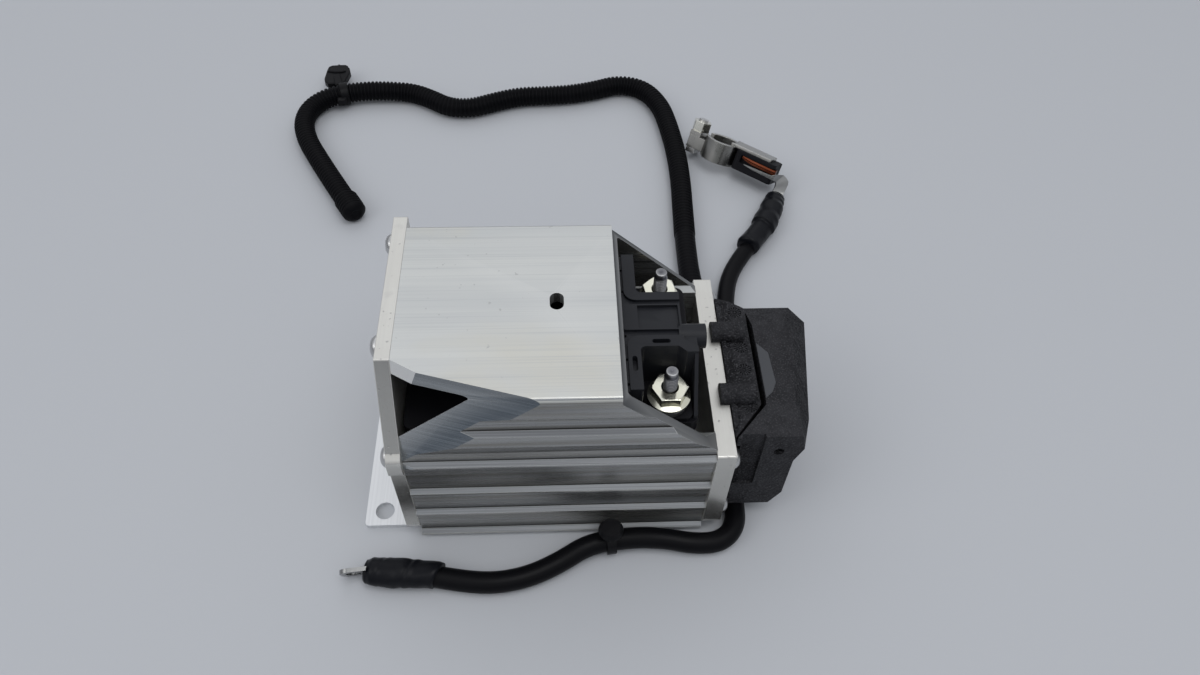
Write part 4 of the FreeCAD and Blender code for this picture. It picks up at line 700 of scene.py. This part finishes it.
# Section of the shunt, and its rings: place along the arm, share of the height and setback
SHUNT_TOP = 10.5
SHUNT_SECTION = [
    (-3.6, 7.0), (-5.9, 7.0), (-6.5, 7.4), (-6.5, 8.3), (-5.7, 8.55), (-5.7, 8.85), (-6.3, 9.1),
    (-6.1, 10.1), (-5.4, SHUNT_TOP), (-3.6, SHUNT_TOP),
]
SHUNT_RINGS = ((16.6, 0.45, 0.5), (19.0, 0.7, 0.35), (24.0, 0.95, 0.1), (38.6, 1.0, 0.0), (39.6, 0.95, 0.0))


def in_clamp(x, y, z):
    return CLAMP_FRAME @ Vector((x, y, z))


def bent_lug():
    """Tinned strip from the shunt's lower edge, round a corner and down into the sensor cable's sleeve."""
    rows = [(in_clamp(*first), in_clamp(*second)) for first, second in LUG_LIP] + LUG_STRIP
    faces = [(2 * i, 2 * i + 1, 2 * i + 3, 2 * i + 2) for i in range(len(rows) - 1)]
    item = piece("bent_lug", [point for row in rows for point in row], faces, "tinned_copper", "sensor_lug")
    solid = item.modifiers.new("thick", "SOLIDIFY")
    solid.thickness = LUG_THICK * MM
    solid.offset = -1.0
    return crisp(item, 0.2)


def grooved_shunt():
    """Copper bar with a groove along it, set back in the sensor module's side."""
    rings = [
        [in_clamp(x, y + setback, SHUNT_TOP - (SHUNT_TOP - z) * share) for y, z in SHUNT_SECTION]
        for x, share, setback in SHUNT_RINGS
    ]
    return crisp(piece("grooved_shunt", *skin(rings), "bare_copper", "sensor_shunt"), 0.12)


# The conduit's clip. Its band follows the route past one point, as distances along the conduit and radii
CLIP_POINT = 22
CLIP_AHEAD = 10.0
CLIP_BAND = ((-2.6, 6.5), (-2.6, 6.9), (-2.2, 7.2), (2.2, 7.2), (2.6, 6.9), (2.6, 6.5))
CLIP_BAND_SIDES = 40
# Its flat pieces: outline along and away from the conduit, then lowest and highest level
CLIP_SLABS = {
    "head": ([(-6.4, 19.9), (-6.4, 24.5), (-4.6, 28.6), (-1.8, 29.3), (4.4, 30.3), (6.7, 29.4), (8.2, 26.2),
              (11.0, 17.1), (11.1, 13.7), (9.5, 10.9), (6.0, 9.9), (0.4, 8.4), (-1.4, 9.7), (-4.3, 15.4)],
             -1.9, 2.4),
    "rib": ([(0.2, 6.0), (4.8, 6.0), (5.0, 15.6), (3.8, 17.4), (1.2, 17.4), (0.4, 15.6)], 1.4, 4.2),
    "lip": ([(-3.6, 20.4), (-1.0, 19.8), (3.6, 20.6), (8.2, 23.4), (7.6, 25.4), (-3.4, 22.6)], 1.8, 3.4),
    "nub": ([(-0.9, 28.6), (0.5, 28.8), (0.5, 32.2), (-0.7, 32.0)], -0.7, 1.2),
    "spur": ([(-5.4, 26.6), (-3.8, 27.6), (-4.2, 29.8), (-5.6, 29.2)], -0.7, 1.2),
    "lock": ([(-1.0, -6.0), (5.6, -6.0), (5.4, -9.0), (2.0, -9.6), (-0.2, -8.4)], -2.4, 2.4),
}
SLAB_INSET = 0.7
SLAB_ROUND = 0.6


def clip_place(x, y, z):
    """A point of the conduit clip, drawn about the band's middle with x along the conduit."""
    start, ahead = (Vector(point) for point in CONDUIT[CLIP_POINT:CLIP_POINT + 2])
    heading = (ahead - start).normalized()
    across = heading.cross(Vector(UP)).normalized()
    return start + heading * (CLIP_AHEAD + x) + across * y + Vector(UP) * z


def clip_slab(outline, low, high):
    """A flat piece of the clip over an outline, rounded over at both faces."""
    inner = shrunk(outline, SLAB_INSET)
    rings = [(inner, low), (outline, low + SLAB_ROUND), (outline, high - SLAB_ROUND), (inner, high)]
    return skin([[clip_place(x, y, level) for x, y in ring] for ring, level in rings])


def conduit_clip():
    """Band round the conduit with a stem, a thick rounded mounting head with nubs and a lock."""
    turns = turns_of(CLIP_BAND_SIDES)
    band = [
        [clip_place(x, radius * math.cos(turn), radius * math.sin(turn)) for turn in turns]
        for x, radius in CLIP_BAND
    ]
    parts = joined([skin(band)] + [clip_slab(*slab) for slab in CLIP_SLABS.values()])
    return crisp(piece("conduit_clip_body", *parts, "clip_plastic", "conduit_clip"), 0.15)


# Terminal studs with their threads, as height, radius and share of the thread's depth

STUD_X = 123.4
STUD_PLACES = {"front": 7.4, "back": 58.4}
PAD_TOP = 76.0
STUD_SIDES = 48
STUD_FOOT = [(0.0, 8.0, 0.0), (3.5, 8.0, 0.0), (4.0, 7.5, 0.0), (4.0, 2.6, 0.0), (10.0, 2.6, 0.0)]
STUD_TIP = [(17.3, 2.8, 0.6), (17.5, 2.7, 0.3), (17.7, 2.5, 0.0), (17.9, 2.4, 0.0), (20.2, 2.4, 0.0),
            (20.45, 2.2, 0.0), (20.5, 1.9, 0.0), (20.5, 0.7, 0.0), (20.35, 0.4, 0.0)]
THREAD_START = 10.0
THREAD_RADIUS = 2.85
THREAD_STEP = 0.1
THREAD_STEPS = 72
THREAD_RUN_IN = 8
THREAD_PITCH = 1.0
THREAD_DEPTH = 0.42


def thread_wave(share):
    """Depth of the thread at a share of its pitch: a flat crest, sloping flanks and a narrow root."""
    away = abs(2 * (share % 1.0) - 1)
    return min(1.0, max(0.0, (away - 0.15) / 0.75))


def threaded_stud(side):
    thread = [(THREAD_START + THREAD_STEP * i, THREAD_RADIUS, min(1.0, i / THREAD_RUN_IN))
              for i in range(THREAD_STEPS)]
    centre = Vector((STUD_X, STUD_PLACES[side], PAD_TOP))
    rings = []
    for height, radius, share in STUD_FOOT + thread + STUD_TIP:
        ring = []
        for i, turn in enumerate(turns_of(STUD_SIDES)):
            wave = thread_wave(height / THREAD_PITCH - i / STUD_SIDES)
            reach = radius - share * THREAD_DEPTH * wave
            ring.append(centre + Vector((reach * math.cos(turn), reach * math.sin(turn), height)))
        rings.append(ring)
    return piece(side + "_threaded_stud", *skin(rings), "terminal_metal", side + "_terminal_stud")


# Marks moulded in the foam

VENT_X = 159.2
VENT_PLACES = (11.9, 30.5, 42.6, 62.4)
VENT_FLOOR = 63.6
VENT_TOP = 64.32
VENT_BARS = 14
HUB_RADIUS = 0.55
HUB_SIDES = 12
# A bar's outline, as distances from the vent's middle and turns away from the bar's own
BAR = ((0.9, -0.2), (2.9, -0.125), (3.0, 0.0), (2.9, 0.125), (0.9, 0.2))
PLAQUE = [(165.75, 14.2), (169.2, 17.6), (171.2, 22.1), (170.3, 38.0), (165.75, 43.4)]
PLAQUE_INSET = 0.45
PLAQUE_FOOT = 65.7
PLAQUE_EDGE = 66.35
PLAQUE_TOP = 66.55


def vent_prism(middle, corners):
    """An upright prism in a vent, over corners given as distances and turns from its middle."""
    centre = Vector((VENT_X, middle))
    outline = [centre + reach * Vector((math.cos(turn), math.sin(turn))) for reach, turn in corners]
    return skin([[(x, y, level) for x, y in outline] for level in (VENT_FLOOR, VENT_TOP)])


def vent_roses():
    """Radial bars round a hub, standing in the foam cap's four round vents."""
    parts = []
    for middle in VENT_PLACES:
        parts.append(vent_prism(middle, [(HUB_RADIUS, turn) for turn in turns_of(HUB_SIDES)]))
        for turn in turns_of(VENT_BARS):
            parts.append(vent_prism(middle, [(reach, turn + lean) for reach, lean in BAR]))
    return crisp(piece("vent_roses", *joined(parts), "foam"), 0.06)


def plaque():
    """Smooth bare plaque on the guard's top, against the cap's groove."""
    levels = ((PLAQUE, PLAQUE_FOOT), (PLAQUE, PLAQUE_EDGE), (shrunk(PLAQUE, PLAQUE_INSET), PLAQUE_TOP))
    rings = [[(x, y, level) for x, y in outline] for outline, level in levels]
    return crisp(piece("guard_plaque", *skin(rings), "foam", material="smooth_foam"), 0.1)


# Floor, light and camera

FLOOR_REACH = 4.0
FLOOR_COLOR = (0.5, 0.515, 0.54)
HORIZON_COLOR = (0.17, 0.175, 0.19, 1.0)
SKY_COLOR = (0.7, 0.72, 0.76, 1.0)
SKY_START = 0.6
SKY_STRENGTH = 0.9
# Place and aim in metres, then size and power
LAMPS = {
    "back_softbox": ((-0.1, 1.35, 1.45), (0.08, 0.08, 0.05), 1.6, 2.2),
    "left_softbox": ((-1.3, -0.5, 1.3), (0.08, 0.05, 0.0), 1.0, 4.0),
    "top_softbox": ((0.4, -0.3, 1.7), (0.08, 0.08, 0.0), 1.0, 6.5),
}
CAMERA_PLACE = Vector((81.5, -190.8, 371.0)) * MM
CAMERA_LENS = 26.69
YAW, PITCH, ROLL = (math.radians(a) for a in (3.96, 51.87, -2.14))


def floor():
    mesh = bpy.data.meshes.new("floor")
    corners = [(x * FLOOR_REACH, y * FLOOR_REACH, 0) for x, y in ((-1, -1), (1, -1), (1, 1), (-1, 1))]
    mesh.from_pydata(corners, [], [(0, 1, 2, 3)])
    item = bpy.data.objects.new("floor", mesh)
    bpy.context.scene.collection.objects.link(item)
    look = Shader("floor_paper", FLOOR_COLOR, 0.6)
    look.bump(look.noise(700.0, detail=2.0), 0.00002)
    item.data.materials.append(look.material)


def lamp(name, place, aim, size, power):
    data = bpy.data.lights.new(name, "AREA")
    data.size = size
    data.energy = power
    item = bpy.data.objects.new(name, data)
    item.location = place
    item.rotation_mode = "QUATERNION"
    item.rotation_quaternion = (Vector(aim) - Vector(place)).to_track_quat("-Z", "Y")
    bpy.context.scene.collection.objects.link(item)


def world():
    """Pale studio, dimmer towards the horizon."""
    made = bpy.data.worlds.new("studio")
    made.use_nodes = True
    tree = made.node_tree
    background = tree.nodes["Background"]
    spot = tree.nodes.new("ShaderNodeTexCoord")
    parts = tree.nodes.new("ShaderNodeSeparateXYZ")
    level = tree.nodes.new("ShaderNodeMapRange")
    shade = tree.nodes.new("ShaderNodeMix")
    shade.data_type = "RGBA"
    tree.links.new(spot.outputs["Generated"], parts.inputs[0])
    tree.links.new(parts.outputs["Z"], level.inputs["Value"])
    level.inputs["From Max"].default_value = SKY_START
    tree.links.new(level.outputs[0], shade.inputs[0])
    shade.inputs[6].default_value = HORIZON_COLOR
    shade.inputs[7].default_value = SKY_COLOR
    tree.links.new(shade.outputs[2], background.inputs["Color"])
    background.inputs["Strength"].default_value = SKY_STRENGTH
    bpy.context.scene.world = made


def camera():
    ahead = Vector((math.sin(YAW) * math.cos(PITCH), math.cos(YAW) * math.cos(PITCH), -math.sin(PITCH)))
    right = Vector((math.cos(YAW), -math.sin(YAW), 0.0))
    down = ahead.cross(right)
    across = right * math.cos(ROLL) + down * math.sin(ROLL)
    up = right * math.sin(ROLL) - down * math.cos(ROLL)
    data = bpy.data.cameras.new("camera")
    data.sensor_width = 36.0
    data.lens = CAMERA_LENS
    item = bpy.data.objects.new("camera", data)
    turn = Matrix((across, up, -ahead)).transposed()
    item.matrix_world = Matrix.Translation(CAMERA_PLACE) @ turn.to_4x4()
    bpy.context.scene.collection.objects.link(item)
    bpy.context.scene.camera = item


# Everything put together

for label, (material, width) in CAD_FINISH.items():
    finish_solid(label, material, width)

conduit, conduit_path, conduit_length = ribbed_conduit()
front_cable, front_length = smooth_cable("front_cable_jacket", FRONT_CABLE, "front_cable")
sensor_cable, sensor_length = smooth_cable("sensor_cable_jacket", SENSOR_CABLE, "sensor_cable")
conduit_end = ribbed_end()
front_sleeve = shrunk_sleeve("front_shrink_sleeve", FRONT_CABLE, FRONT_SLEEVE, FRONT_SLANT,
                             FRONT_FOLDS, "front_cable_sleeve")
sensor_sleeve = shrunk_sleeve("sensor_shrink_sleeve", SENSOR_CABLE, SENSOR_SLEEVE, SENSOR_SLANT,
                              SENSOR_FOLDS, "sensor_cable_sleeve")
lug = bent_lug()
shunt = grooved_shunt()
clip = conduit_clip()

for side in STUD_PLACES:
    threaded_stud(side)
vent_roses()
plaque()

floor()
for name, values in LAMPS.items():
    lamp(name, *values)
world()
camera()
bpy.context.scene.view_settings.view_transform = "Standard"
